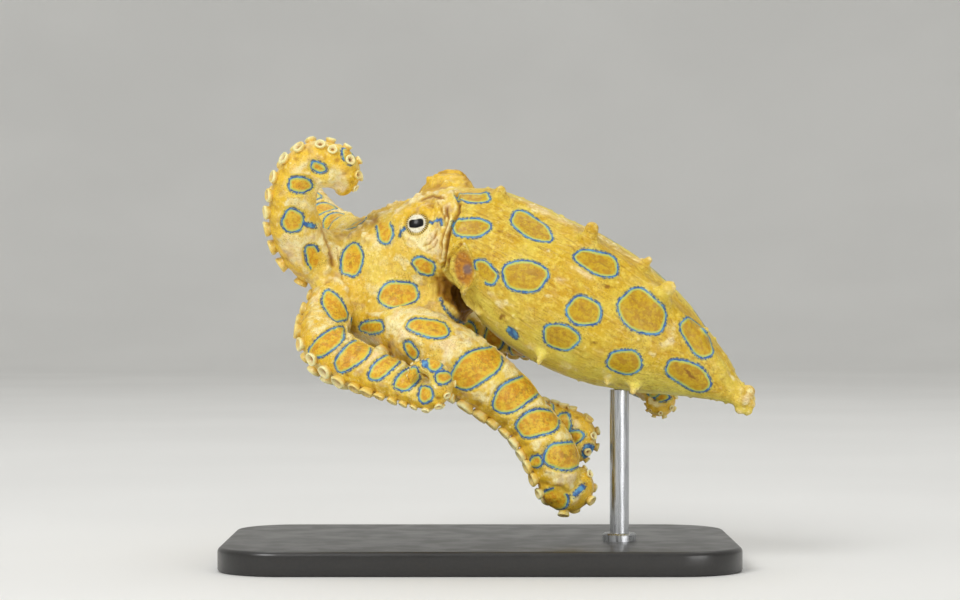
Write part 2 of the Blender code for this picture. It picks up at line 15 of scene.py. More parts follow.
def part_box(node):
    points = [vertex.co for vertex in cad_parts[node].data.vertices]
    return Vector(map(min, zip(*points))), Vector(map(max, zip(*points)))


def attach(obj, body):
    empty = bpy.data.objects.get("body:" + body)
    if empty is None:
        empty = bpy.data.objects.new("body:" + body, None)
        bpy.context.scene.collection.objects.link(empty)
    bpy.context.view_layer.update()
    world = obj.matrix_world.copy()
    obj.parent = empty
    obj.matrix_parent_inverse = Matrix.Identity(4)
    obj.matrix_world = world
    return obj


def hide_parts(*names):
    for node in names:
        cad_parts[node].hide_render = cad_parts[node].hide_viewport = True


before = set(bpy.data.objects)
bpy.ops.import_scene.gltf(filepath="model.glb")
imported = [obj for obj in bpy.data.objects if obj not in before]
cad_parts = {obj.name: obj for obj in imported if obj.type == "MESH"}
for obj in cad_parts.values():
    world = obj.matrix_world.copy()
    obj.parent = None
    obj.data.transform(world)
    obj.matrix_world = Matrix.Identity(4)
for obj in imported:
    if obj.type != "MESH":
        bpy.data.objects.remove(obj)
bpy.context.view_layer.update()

MM = 0.001
rng = np.random.default_rng(7)

# The pose, laid out as in the solids: across and up are read on an upright plane
# through the animal, and away is the distance behind that plane.
VIEW_DISTANCE = 333.3
EYE_HEIGHT = 33.0
PLANE_Y = -4.0
RIGHT = np.array((0.365, 0.810, 0.467))
MANTLE_AXIS = np.array((0.855, -0.090, -0.510))
MANTLE_BACK = np.array((0.371, -0.585, 0.726))
HEAD_AXIS = np.array((-0.705, 0.565, -0.430))
HEAD_BACK = np.array((-0.612, -0.172, 0.777))
NECK_AXIS = np.array((-0.921, 0.387, 0.047))

VOXEL = 0.18
BODY_SIDES = 72
ARM_SIDES = 28
SPLINE_STEPS = 24


def unit(v):
    v = np.asarray(v, float)
    return v / np.linalg.norm(v)


def norms(rows):
    return np.linalg.norm(rows, axis=1)


def units(rows):
    return rows / norms(rows)[:, None]


def dots(a, b):
    return np.sum(a * b, axis=1)


def bell(x, width, power=2):
    """One where x is zero, falling away beyond the width."""
    return np.exp(-((x / width) ** power))


def circle(centre, first, second, radius, sides):
    """A ring of points round a centre, in the plane of two axes."""
    turn = np.arange(sides) * 2 * math.pi / sides
    return centre + (np.outer(np.cos(turn), first) + np.outer(np.sin(turn), second)) * radius


def seen(across, up, away):
    """The place in space of a point given as it is seen."""
    spread = 1 + away / VIEW_DISTANCE
    return np.array((across * spread, away + PLANE_Y, up * spread + EYE_HEIGHT))


def as_seen(points):
    """Across, up and away of points in space."""
    away = points[:, 1] - PLANE_Y
    spread = 1 + away / VIEW_DISTANCE
    return np.stack([points[:, 0] / spread, (points[:, 2] - EYE_HEIGHT) / spread, away], axis=1)


def spline(rows, count):
    """A smooth curve through the rows, as evenly spaced rows over their index."""
    rows = np.asarray(rows, float)
    ends = np.vstack([2 * rows[0] - rows[1], rows, 2 * rows[-1] - rows[-2]])
    curve = []
    for t in np.linspace(0, len(rows) - 1, count):
        k = min(int(t), len(rows) - 2)
        f = t - k
        a, b, c, d = ends[k : k + 4]
        linear = (c - a) * f
        square = (2 * a - 5 * b + 4 * c - d) * f**2
        cubic = (3 * b - a - 3 * c + d) * f**3
        curve.append(0.5 * (2 * b + linear + square + cubic))
    return np.array(curve)


def smoothstep(low, high, x):
    t = np.clip((np.asarray(x, float) - low) / (high - low), 0, 1)
    return t * t * (3 - 2 * t)


def noise(points, size, seed=0):
    """Smooth noise between -1 and 1 whose lumps are about `size` across."""
    p = points / size + seed * 17.3
    cell = np.floor(p).astype(np.int64)
    f = p - cell
    f = f * f * (3 - 2 * f)
    total = np.zeros(len(p))
    for corner in range(8):
        step = np.array((corner & 1, corner >> 1 & 1, corner >> 2 & 1))
        x, y, z = (cell + step).astype(np.uint64).T
        h = x * np.uint64(73856093) ^ y * np.uint64(19349663) ^ z * np.uint64(83492791)
        h = (h ^ (h >> np.uint64(13))) * np.uint64(1274126177) & np.uint64(0xFFFFFFFF)
        value = (h ^ (h >> np.uint64(16))) & np.uint64(0xFFFF)
        weight = np.prod(np.where(step == 1, f, 1 - f), axis=1)
        total += weight * (value / 32767.5 - 1)
    return total


def add_object(name, data):
    obj = bpy.data.objects.new(name, data)
    bpy.context.scene.collection.objects.link(obj)
    return obj


class Soup:
    """Vertices and faces gathered from many closed forms, in millimetres."""

    def __init__(self):
        self.points = []
        self.faces = []
        self.count = 0

    def add(self, points, faces):
        self.faces += [[i + self.count for i in face] for face in faces]
        self.points.append(np.asarray(points, float))
        self.count += len(points)
        return self

    def loft(self, rings, capped=True, wrapped=False):
        """A tube through rings of points, with flat ends or joined into a loop."""
        n = len(rings[0])
        count = len(rings)
        faces = []
        for k in range(count if wrapped else count - 1):
            here, there = k * n, (k + 1) % count * n
            for i in range(n):
                j = (i + 1) % n
                faces.append((here + i, here + j, there + j, there + i))
        if capped and not wrapped:
            faces.append(tuple(range(n))[::-1])
            faces.append(tuple(range((count - 1) * n, count * n)))
        return self.add(np.concatenate(rings), faces)

    def ball(self, centre, half_sizes, axes, segments=24, rings=14):
        """An ellipsoid with half sizes along three axes."""
        first, second, out = (half * axis for half, axis in zip(half_sizes, axes))
        return self.loft([
            circle(centre + out * math.cos(polar), first, second, math.sin(polar), segments)
            for polar in np.arange(1, rings) * math.pi / rings
        ])

    def torus(self, centre, axes, reach, thickness, stretch=1.0, segments=48, sides=14):
        """A swollen ring round the last axis."""
        first, second, out = axes
        rings = []
        for turn in np.arange(segments) * 2 * math.pi / segments:
            spoke = first * math.cos(turn) * stretch + second * math.sin(turn)
            rings.append(circle(centre + spoke * reach, spoke, -out, thickness, sides))
        return self.loft(rings, wrapped=True)

    def object(self, name, scale=MM):
        mesh = bpy.data.meshes.new(name)
        mesh.from_pydata(np.concatenate(self.points) * scale, [], self.faces)
        mesh.validate()
        mesh.update()
        return add_object(name, mesh)


def axes_from(out):
    """Three axes at right angles, the last one the given direction."""
    out = unit(out)
    first = unit(np.cross((0.0, 0.0, 1.0) if abs(out[2]) < 0.9 else (1.0, 0.0, 0.0), out))
    return first, np.cross(out, first), out


def section(centre, axis, back, half_side, half_back, half_front, sides):
    """One ring of a body: half widths to the side, toward the back and the belly."""
    axis = unit(axis)
    back = unit(back - axis * np.dot(back, axis))
    side = np.cross(axis, back)
    angle = np.arange(sides) * 2 * math.pi / sides
    height = np.where(np.cos(angle) > 0, half_back, half_front)
    return (centre + back * (np.cos(angle) * height)[:, None]
            + side * (np.sin(angle) * half_side)[:, None])


def body_rings(stations, back, count):
    """A body's middle line and its rings, from places, half sizes and axes."""
    rows = [(*at, *halves, *axis, *back) for at, halves, axis in stations]
    curve = spline(rows, count)
    rings = [section(row[:3], row[6:9], row[9:12], *row[3:6], BODY_SIDES) for row in curve]
    return curve, rings


NECK_FACE = (-2.7, 8.3, 1.3)
MANTLE_STATIONS = (
    (seen(-3.6, 8.2, 2.0), (4.4, 4.6, 4.0), -NECK_AXIS),
    (seen(-2.9, 8.2, 1.4), (6.0, 5.5, 5.6), -NECK_AXIS),
    (seen(-1.8, 8.0, 1.2), (6.8, 5.8, 6.5), -NECK_AXIS),
    (seen(0.6, 7.2, 1.2), (7.6, 6.6, 7.4), (0.93, -0.25, -0.26)),
    (seen(5.2, 3.8, 0.9), (8.9, 7.9, 8.2), MANTLE_AXIS),
    (seen(10.6, 0.5, 0.3), (9.5, 8.8, 8.8), MANTLE_AXIS),
    (seen(16.6, -2.7, -0.4), (8.8, 8.2, 8.4), MANTLE_AXIS),
    (seen(22.3, -5.6, -1.0), (6.9, 6.4, 6.6), MANTLE_AXIS),
    (seen(26.4, -7.9, -1.5), (4.7, 4.4, 4.6), MANTLE_AXIS),
    (seen(29.4, -9.7, -1.8), (3.2, 2.9, 3.0), MANTLE_AXIS),
    (seen(31.2, -11.1, -2.1), (1.95, 1.85, 1.8), MANTLE_AXIS),
    (seen(32.8, -12.1, -2.3), (1.4, 1.3, 1.3), MANTLE_AXIS),
    (seen(33.8, -12.6, -2.4), (0.8, 0.8, 0.8), MANTLE_AXIS),
)
CROWN_CENTRE = seen(-13.3, 2.2, 9.5)
CROWN_BACK = 5.0
HEAD_STATIONS = (
    (seen(-1.4, 8.0, 0.9), (5.4, 5.0, 5.0), NECK_AXIS),
    (seen(*NECK_FACE), (6.3, 5.5, 5.9), NECK_AXIS),
    (seen(-4.6, 7.6, 2.7), (6.9, 6.0, 6.3), (-0.84, 0.49, -0.17)),
    (seen(-6.6, 6.5, 4.3), (7.3, 6.6, 6.6), HEAD_AXIS),
    (seen(-8.3, 5.5, 5.6), (7.6, 7.2, 6.4), HEAD_AXIS),
    (CROWN_CENTRE - HEAD_AXIS * CROWN_BACK, (7.6, 7.5, 6.1), HEAD_AXIS),
    (CROWN_CENTRE - HEAD_AXIS * 2.6, (7.7, 7.6, 6.6), HEAD_AXIS),
    (CROWN_CENTRE, (7.2, 7.0, 6.6), HEAD_AXIS),
    (CROWN_CENTRE + HEAD_AXIS * 2.0, (5.4, 5.2, 5.2), HEAD_AXIS),
    (CROWN_CENTRE + HEAD_AXIS * 2.9, (3.6, 3.5, 3.5), HEAD_AXIS),
)
LIP_REACH = 1.7
LIP_THICKNESS = 0.55
LIP_RISE = 3.1

EYE_RADIUS = 1.9
EYES = {
    "eye_left": ((-7.52, 9.12, -1.3), (-0.25, -0.93, 0.27)),
    "eye_right": ((-3.7, 13.9, 8.0), (0.05, 0.75, 0.65)),
}
# Mounds under each eye: how far back and up from its middle, and half sizes
EYE_MOUNDS = ((1.8, 0.0, (3.2, 3.2, 3.2)), (2.1, 0.8, (3.6, 2.7, 2.9)))
LID_RISE = 0.98
LID_REACH = 1.98
LID_THICKNESS = 0.42
# Blue lines before and behind each eye: along the pupil and up from its middle
EYE_LINES = (
    ((1.5, -0.12), (2.2, -0.3), (2.8, -0.02), (3.2, -0.12), (3.4, -0.45), (3.45, -0.8)),
    ((-1.5, -0.3), (-1.95, -0.65), (-2.5, -1.05)),
)

FUNNEL_PATH = ((-1.2, 1.2, 5.0, 2.4), (-2.6, -0.2, 6.4, 2.1), (-4.2, -1.8, 8.2, 1.6))
FUNNEL_STEPS = 26
FUNNEL_BORE = ((25, 0.32), (23, 0.42), (20, 0.45), (17, 0.5), (15, 0.9))

# Papillae of the mantle: seen place across and up, radius and length
PAPILLAE = (
    (14.0, 8.9, 1.0, 1.95), (21.1, 5.0, 0.62, 1.25), (23.55, 1.5, 1.1, 2.1),
    (28.3, -3.7, 0.6, 1.15), (2.6, 13.7, 0.75, 1.0), (7.4, -7.6, 0.56, 1.45),
    (15.8, -10.6, 0.4, 0.9), (19.1, -11.5, 0.54, 1.45),
)
# A papilla's stalk: share of the way out, and half width in its own radii
STALK_PROFILE = ((-0.5, 2.6), (-0.15, 2.05), (0.1, 1.5), (0.3, 1.1), (0.5, 0.85), (0.7, 0.74),
                 (1.0, 0.7))

# Arms: points along each, as seen place, radius and the way the suckers face there
ARM_ANGLES = {"1": 22.5, "2": 67.5, "3": 112.5, "4": 157.5}
ARM_START = 1.6
ARM_REACH = 6.2
ARM_RADIUS = 2.7
TIP_RADIUS = {"left_1": 1.15, "left_3": 1.1, "left_4": 0.6}
LEAST_TIP = 0.35
ORAL_FLAT = 0.86
ARM_ORDER = ("left_1", "left_2", "left_3", "left_4", "right_4", "right_3", "right_2", "right_1")
ARMS = {
    "left_1": (
        (-21.0, 5.2, 4.2, 3.3, -0.6, 0.5, -0.6), (-23.2, 8.8, 1.4, 3.3, -0.9, 0.4, 0.0),
        (-23.6, 12.6, -0.8, 3.05, -1.0, 0.1, 0.2), (-22.8, 16.0, -2.0, 2.65, -0.8, 0.0, 0.6),
        (-20.6, 17.85, -2.6, 2.35, -0.3, -0.2, 0.9), (-18.5, 17.75, -2.8, 2.1, 0.3, -0.5, 0.8),
    ),
    "left_2": (
        (-19.2, -2.4, 1.6, 3.1, -0.9, 0.3, -0.4), (-19.5, -5.6, -2.6, 3.1, -0.8, -0.3, -0.6),
        (-16.3, -8.0, -5.6, 2.95, -0.3, -0.2, -0.95),
        (-12.7, -9.3, -7.6, 2.7, -0.25, 0.1, -0.95), (-9.5, -10.7, -8.8, 2.3, -0.25, 0.2, -0.95),
        (-7.2, -11.9, -9.6, 1.8, -0.2, 0.2, -0.95),
    ),
    "left_3": (
        (-11.8, -2.9, 2.2, 3.5, -0.6, -0.2, -0.8), (-7.8, -4.9, -1.4, 4.0, -0.3, 0.3, -0.9),
        (-3.7, -7.3, -2.9, 4.05, -0.45, 0.4, -0.75), (0.0, -9.9, -3.3, 3.85, -0.55, 0.35, -0.7),
        (3.3, -12.4, -3.3, 3.5, -0.6, 0.35, -0.65), (6.3, -15.5, -3.3, 3.1, -0.75, 0.3, -0.5),
        (8.5, -18.9, -3.3, 3.3, -0.95, 0.25, -0.2), (9.4, -21.6, -3.1, 3.0, -1.0, 0.15, 0.0),
        (9.6, -23.2, -2.9, 2.6, -1.0, 0.1, -0.1),
    ),
    "left_4": (
        (-8.8, -5.6, 8.6, 3.0, 0.3, -0.1, -0.9), (-4.6, -8.0, 7.8, 2.9, 0.1, 0.3, -0.9),
        (0.2, -11.0, 6.6, 2.7, -0.1, 0.7, -0.6), (4.6, -13.6, 5.2, 2.4, 0.0, 0.9, 0.1),
        (8.9, -15.1, 3.9, 2.3, 0.1, 0.7, 0.7), (11.6, -15.6, 2.7, 2.1, 0.2, 0.3, 0.95),
    ),
    "right_1": (
        (-17.4, 8.0, 13.6, 2.8, -0.7, 0.2, -0.5), (-19.6, 9.8, 17.2, 2.6, -0.8, 0.4, -0.3),
        (-21.4, 12.2, 20.6, 2.3, -0.9, 0.4, 0.0), (-22.2, 15.2, 23.4, 1.9, -0.8, 0.5, 0.3),
        (-21.0, 17.4, 26.0, 1.6, -0.2, 0.7, 0.7),
    ),
    "right_2": (
        (-11.8, 7.4, 18.6, 2.9, -0.4, 0.3, 0.9), (-8.8, 8.0, 23.2, 2.7, -0.2, 0.8, 0.6),
        (-4.6, 7.4, 26.0, 2.4, 0.1, 0.9, 0.4), (0.0, 6.0, 27.2, 2.0, 0.2, 0.9, 0.2),
        (3.6, 4.2, 27.2, 1.7, 0.3, 0.9, 0.1),
    ),
    "right_3": (
        (-7.2, 1.2, 18.6, 2.9, 0.2, 0.6, -0.2), (-3.6, 1.0, 21.4, 2.8, -0.2, 0.9, 0.2),
        (1.4, 0.0, 22.2, 2.5, 0.0, 1.0, 0.0), (6.6, -1.8, 22.0, 2.2, 0.0, 1.0, -0.1),
        (11.2, -3.6, 21.2, 1.9, 0.2, 0.9, -0.3),
    ),
    "right_4": (
        (-6.2, -3.0, 13.6, 3.0, 0.4, 0.2, -0.8), (-1.0, -3.8, 15.2, 2.8, 0.0, 0.6, -0.7),
        (5.0, -4.6, 15.4, 2.6, -0.1, 0.8, -0.5), (11.6, -6.6, 14.2, 2.3, -0.1, 0.9, 0.1),
        (18.0, -9.4, 12.4, 2.0, 0.2, 0.7, 0.6), (22.6, -11.7, 11.0, 1.6, 0.6, 0.4, 0.7),
    ),
}
# The curl at each arm's end: its radius at the start and at the tip, how far it turns,
# and how far it drifts sideways for each millimetre
CURLS = {
    "left_1": (2.0, 2.6, 118.0, 0.15),
    "left_2": (2.4, 1.5, 300.0, -0.22),
    "left_3": (1.5, 1.25, 235.0, 0.3),
    "left_4": (2.2, 1.5, 225.0, -0.12),
    "right_1": (2.4, 1.4, 250.0, 0.1),
    "right_2": (2.4, 1.4, 250.0, 0.1),
    "right_3": (2.4, 1.4, 250.0, 0.1),
    "right_4": (1.5, 0.9, 255.0, 0.1),
}


# Suckers, in two rows that alternate. The profile is in a sucker's own radii: how far
# out and how high, from the root up over the rim and down to the middle of the cup.
SUCKER_SIZE = 0.3
SUCKER_LEAST = 0.15
SUCKER_TURN = math.radians(30)
SUCKER_STEP = 0.28
SUCKER_STEP_LEAST = 0.11
FIRST_SUCKER = 4.4
SUCKER_SIDES = 18
SUCKER_PROFILE = (
    (0.94, -0.9), (0.92, -0.3), (0.88, 0.1), (0.93, 0.32), (1.02, 0.54), (1.05, 0.74),
    (0.99, 0.90), (0.86, 0.95), (0.73, 0.86), (0.59, 0.72), (0.44, 0.62), (0.34, 0.50),
    (0.31, 0.25), (0.18, 0.10),
)

# Seen places of suckers that lie folded away between two arms
FOLDED = ((-15.1, -4.1), (-13.9, -5.0), (-12.6, -5.6), (-4.1, -9.4), (-5.1, -8.1), (-6.3, -7.3))

WEB_REACH = 7.6
WEB_SAG = 0.27
WEB_THICKNESS = 0.9

# Lumps of the knob at the end of the mantle, and of flesh between head and arms, as
# seen place and half sizes
KNOB_LUMPS = (
    ((33.5, -11.5, -2.9), 0.92), ((33.85, -12.95, -2.9), 0.62), ((33.35, -13.7, -2.8), 0.72),
    ((32.5, -13.6, -3.0), 0.68), ((32.2, -12.6, -3.3), 0.78), ((33.0, -12.6, -3.4), 0.75),
    ((32.5, -10.7, -2.6), 0.5), ((33.6, -12.4, -1.3), 0.85), ((32.6, -11.4, -3.5), 0.6),
)
CURL_LUMP = ((-19.5, 16.1, -2.4), (2.3, 2.0, 1.9))
SHOULDERS = (
    ((-10.6, 0.6, 3.2), (4.8, 4.2, 4.4)), ((-4.6, -0.4, 6.2), (4.4, 3.4, 3.4)),
    ((-5.0, -1.8, 0.3), (3.0, 1.9, 2.2)),
)
# Fillets: the size of the voxels, and how far the forms are swollen
MANTLE_FILLET = (0.22, 0.28)
HEAD_FILLET = (0.36, 1.5)
CURL_FILLET = (0.2, 0.6)
# How far along an arm its root is joined into the head
ROOT_REACH = {"left_1": 13.0, "left_2": 8.0, "left_3": 15.0}
USUAL_ROOT = 10.0

# The crest that joins the papillae, as it is seen
CREST = ((1.0, 13.2), (8.0, 10.9), (13.4, 7.4), (18.5, 4.0), (23.0, 0.2), (26.4, -3.6),
         (30.4, -8.9))
# Folds between the head and the mantle as they are seen: the path, the depth and the
# half width of each. The first one parts the colours of the head and the mantle.
NECK_FOLD = ((-4.56, 4.2), (-4.27, 5.3), (-4.18, 6.9), (-3.85, 8.4), (-3.27, 9.8), (-2.6, 11.0),
             (-2.5, 11.9), (-2.94, 13.2))
FOLDS = (
    (NECK_FOLD, 0.42, 0.2),
    (((-4.9, 5.2), (-4.75, 6.3), (-4.85, 7.3), (-4.37, 8.8), (-3.94, 10.1), (-4.18, 11.4)),
     0.24, 0.15),
    (((-4.5, 9.3), (-4.4, 10.4), (-5.2, 12.0)), 0.16, 0.13),
    (((-7.1, 6.75), (-6.4, 7.1), (-5.7, 7.9), (-5.4, 8.6)), 0.13, 0.13),
    (((-6.5, 6.2), (-5.7, 6.7), (-5.3, 7.6)), 0.1, 0.12),
    (((-2.4, 7.0), (-3.1, 6.2), (-3.85, 5.0), (-3.9, 3.6), (-3.1, 2.3), (-2.4, 1.5)), 0.4, 0.18),
    (((-4.6, 12.6), (-5.9, 13.0), (-7.4, 12.3)), 0.14, 0.14),
    (((-20.0, 9.0), (-19.6, 7.6), (-18.9, 6.3), (-18.5, 4.4)), 0.07, 0.22),
    (((-17.9, 6.4), (-17.5, 4.6), (-17.2, 2.6)), 0.07, 0.12),
    (((-18.2, -3.6), (-17.2, -4.6), (-16.4, -4.9)), 0.15, 0.14),
)
# The ridge of the head and the border of the first arm, where the skin is beaded
HEAD_RIDGE = ((-5.6, 13.4), (-10.4, 11.9), (-14.6, 9.6), (-18.2, 7.4), (-18.6, 5.2), (-18.3, 2.2))
# The jagged crest of the web above the third arm, and two pieces of blue line on it
WEB_CREST = ((-4.9, 0.0), (-2.6, -1.9), (0.0, -4.8), (3.0, -6.9), (5.4, -8.5))
BLUE_PATHS = (
    ((-5.1, 0.1), (-4.4, -1.1), (-3.3, -2.3), (-2.4, -2.7)),
    ((-2.0, -2.8), (-0.9, -3.7), (-0.4, -4.5)),
)
FLAP_RIM = ((-1.95, 6.8), (-1.4, 5.6), (-0.75, 4.3), (-0.68, 3.2), (-1.2, 2.3), (-1.95, 1.3),
            (-1.9, 0.4), (-1.0, -0.6), (0.1, -1.6))
FLAP_PLACE = ((-2.2, 4.1, -5.2), (-0.55, -0.80, -0.20))
FLAP_SIZE = (1.7, 3.1, 0.75)

# Rings as they are seen: middle, half sizes and tilt, and for some the part left open,
# as the direction of its middle and its half width in degrees
SEEN_RINGS = (
    (-1.1, 9.05, 2.35, 1.2, 4), (-0.8, 12.75, 2.1, 0.6, -2), (6.4, 9.1, 2.9, 1.25, -30),
    (5.6, 3.0, 2.8, 1.95, -8), (0.75, 3.5, 1.75, 1.05, -50, 215, 40),
    (14.6, 4.6, 2.85, 1.3, -25), (13.0, -1.4, 2.2, 1.75, -20), (20.25, -1.5, 3.3, 2.35, -38),
    (10.1, -4.6, 2.25, 1.55, -20), (27.0, -4.75, 2.85, 1.3, -55), (18.1, -7.75, 2.15, 1.5, -8),
    (26.1, -9.4, 3.1, 1.5, -27), (-11.9, 8.5, 0.95, 1.5, 5, 100, 32),
    (-16.0, 5.0, 1.3, 2.1, -14), (-7.0, 4.25, 1.45, 1.0, -28), (-10.25, 0.7, 2.5, 1.6, 4),
    (-6.4, -3.5, 2.6, 1.15, -12), (-13.5, -3.4, 1.5, 0.85, 5), (-18.2, -0.8, 2.2, 1.15, -58),
    (-8.6, -6.3, 1.25, 0.65, -60), (-22.5, 14.4, 1.5, 0.95, 0), (-23.4, 9.9, 1.35, 1.4, -20),
    (-20.9, 5.4, 0.9, 1.5, 10, -30, 60), (-20.2, 16.6, 1.0, 0.6, -20),
    (-16.5, 18.0, 0.6, 1.1, 30), (-19.1, -5.3, 2.6, 1.15, 35), (-15.9, -6.9, 2.7, 1.3, 38),
    (-12.0, -8.3, 2.3, 1.05, 40), (-9.1, -9.9, 1.85, 1.1, 38), (-6.8, -11.8, 0.9, 1.05, 0),
    (-4.6, -9.7, 1.05, 0.8, 10), (-5.7, -8.0, 0.95, 0.9, 0), (-0.5, -8.5, 3.5, 2.0, 36),
    (4.6, -11.7, 3.3, 1.8, 30), (7.2, -15.4, 2.7, 1.65, 16), (10.5, -19.5, 2.35, 1.8, 0),
    (9.3, -24.9, 1.75, 1.3, 0, 60, 25), (7.0, -20.2, 0.8, 0.75, 0),
)

# Spots of solid blue, as they are seen: middle, half sizes, tilt
SEEN_SPOTS = (
    (4.1, -4.1, 0.8, 0.4, -48), (-21.4, 9.4, 0.6, 0.16, -15), (-6.9, -8.0, 0.5, 0.2, -55),
    (13.6, -19.0, 0.9, 0.75, 60), (12.3, -23.8, 0.9, 0.22, 40),
)

# Patches seen on the mantle: middle, half sizes, tilt, then how cream and how dark
SEEN_PATCHES = (
    ((12.8, 3.4), (1.6, 0.45), -30, 0.9, 0.0), ((10.2, 2.5), (0.8, 0.5), -10, 0.7, 0.0),
    ((23.3, -5.4), (1.4, 0.5), 15, 0.9, 0.0), ((21.4, -6.8), (0.7, 0.4), -20, 0.8, 0.0),
    ((31.3, -9.6), (1.0, 0.35), -35, 0.8, 0.0), ((3.6, -0.4), (0.9, 0.4), -20, 0.6, 0.0),
    ((16.0, 1.8), (1.3, 0.35), -10, 0.0, 0.75), ((14.5, -5.2), (1.1, 0.35), -20, 0.0, 0.6),
    ((26.3, -9.4), (1.5, 0.28), -38, 0.0, 0.95), ((2.8, -2.2), (0.5, 0.4), 20, 0.0, 0.9),
    ((18.4, 0.6), (2.6, 0.22), -42, 0.0, 0.5), ((24.9, 0.2), (1.6, 0.2), -60, 0.0, 0.6),
    ((12.0, 6.2), (2.2, 0.2), -32, 0.0, 0.5), ((28.8, -8.4), (1.8, 0.2), -40, 0.0, 0.5),
    ((33.4, -12.4), (1.2, 1.5), -20, 0.6, 0.0), ((8.6, 0.6), (0.8, 0.4), 20, 0.6, 0.0),
    ((20.4, 1.4), (1.6, 0.3), -40, 0.6, 0.0), ((2.2, 8.6), (1.6, 0.3), -8, 0.0, 0.5),
)

# Rings out of that view, on the mantle: the middle line's place along X, the angle
# from the back toward the animal's left, and half sizes along and around.
MANTLE_RINGS = (
    (11.0, -40, 2.3, 1.5), (17.6, -40, 2.4, 1.5),
    (24.8, -43, 1.9, 1.3), (5.2, -72, 2.6, 1.9), (12.4, -86, 2.5, 1.9),
    (19.2, -90, 2.8, 1.9), (26.0, -92, 2.4, 1.3), (1.2, -108, 1.9, 1.4),
    (8.2, -116, 2.4, 1.8), (15.2, -126, 2.3, 1.7), (21.8, -132, 2.2, 1.4),
    (4.8, -150, 1.8, 1.3), (11.4, -160, 1.9, 1.4), (17.8, -168, 1.9, 1.4),
    (24.4, -170, 1.6, 1.1), (8.0, 165, 1.8, 1.3), (14.4, 158, 1.9, 1.3),
    (21.0, 152, 1.6, 1.1), (28.6, -62, 1.9, 0.9),
)
# The same on the head: distance back from the arms' plane, then as above
HEAD_RINGS = (
    (9.5, -48, 1.3, 1.0), (4.6, -58, 2.0, 1.4), (7.2, -104, 2.2, 1.6), (10.6, -88, 1.4, 1.1),
    (3.0, -110, 2.0, 1.4), (5.6, -146, 1.8, 1.3), (9.4, -150, 1.5, 1.1), (3.6, 0, 1.6, 1.2),
    (4.6, 168, 1.8, 1.3),
)
ARM_RING_STEP = 4.3  # from ring to ring along an arm out of that view
FIRST_ARM_RING = 8.5
FIRST_OUTER_RING = 7.0  # rings nearer the crown than this belong to the web
PAPULE_COUNT = 620
BEAD_COUNT = 230
SMOOTHINGS = 14
FULL_SMOOTHINGS = 4  # the rest of them only near the crown
FAR = 3.0  # for vertices that no ring is near
SLOPE_STEP = 0.02

BASE_SIZE = (64.0, 40.0, 3.0)
BASE_CORNER = 8.0
BASE_EDGE = 0.6
ROD_RADIUS = 1.2
ROD_PLACE = (17.4, -4.4)
ROD_COLLAR = ((2.1, -0.4), (2.1, 0.75), (1.9, 0.95), (ROD_RADIUS, 1.0))
LIGHTS = (
    ("key", (-0.28, -0.42, 0.42), 0.26, 2.1),
    ("fill", (0.34, -0.50, 0.02), 0.34, 1.5),
    ("top", (0.05, 0.25, 0.60), 0.45, 0.9),
)


def arm_base_direction(arm):
    """The way an arm leaves the crown, at right angles to the head's axis."""
    side, number = arm.split("_")
    toward = RIGHT if side == "right" else -RIGHT
    turn = math.radians(ARM_ANGLES[number])
    return unit(toward * math.sin(turn) + HEAD_BACK * math.cos(turn))


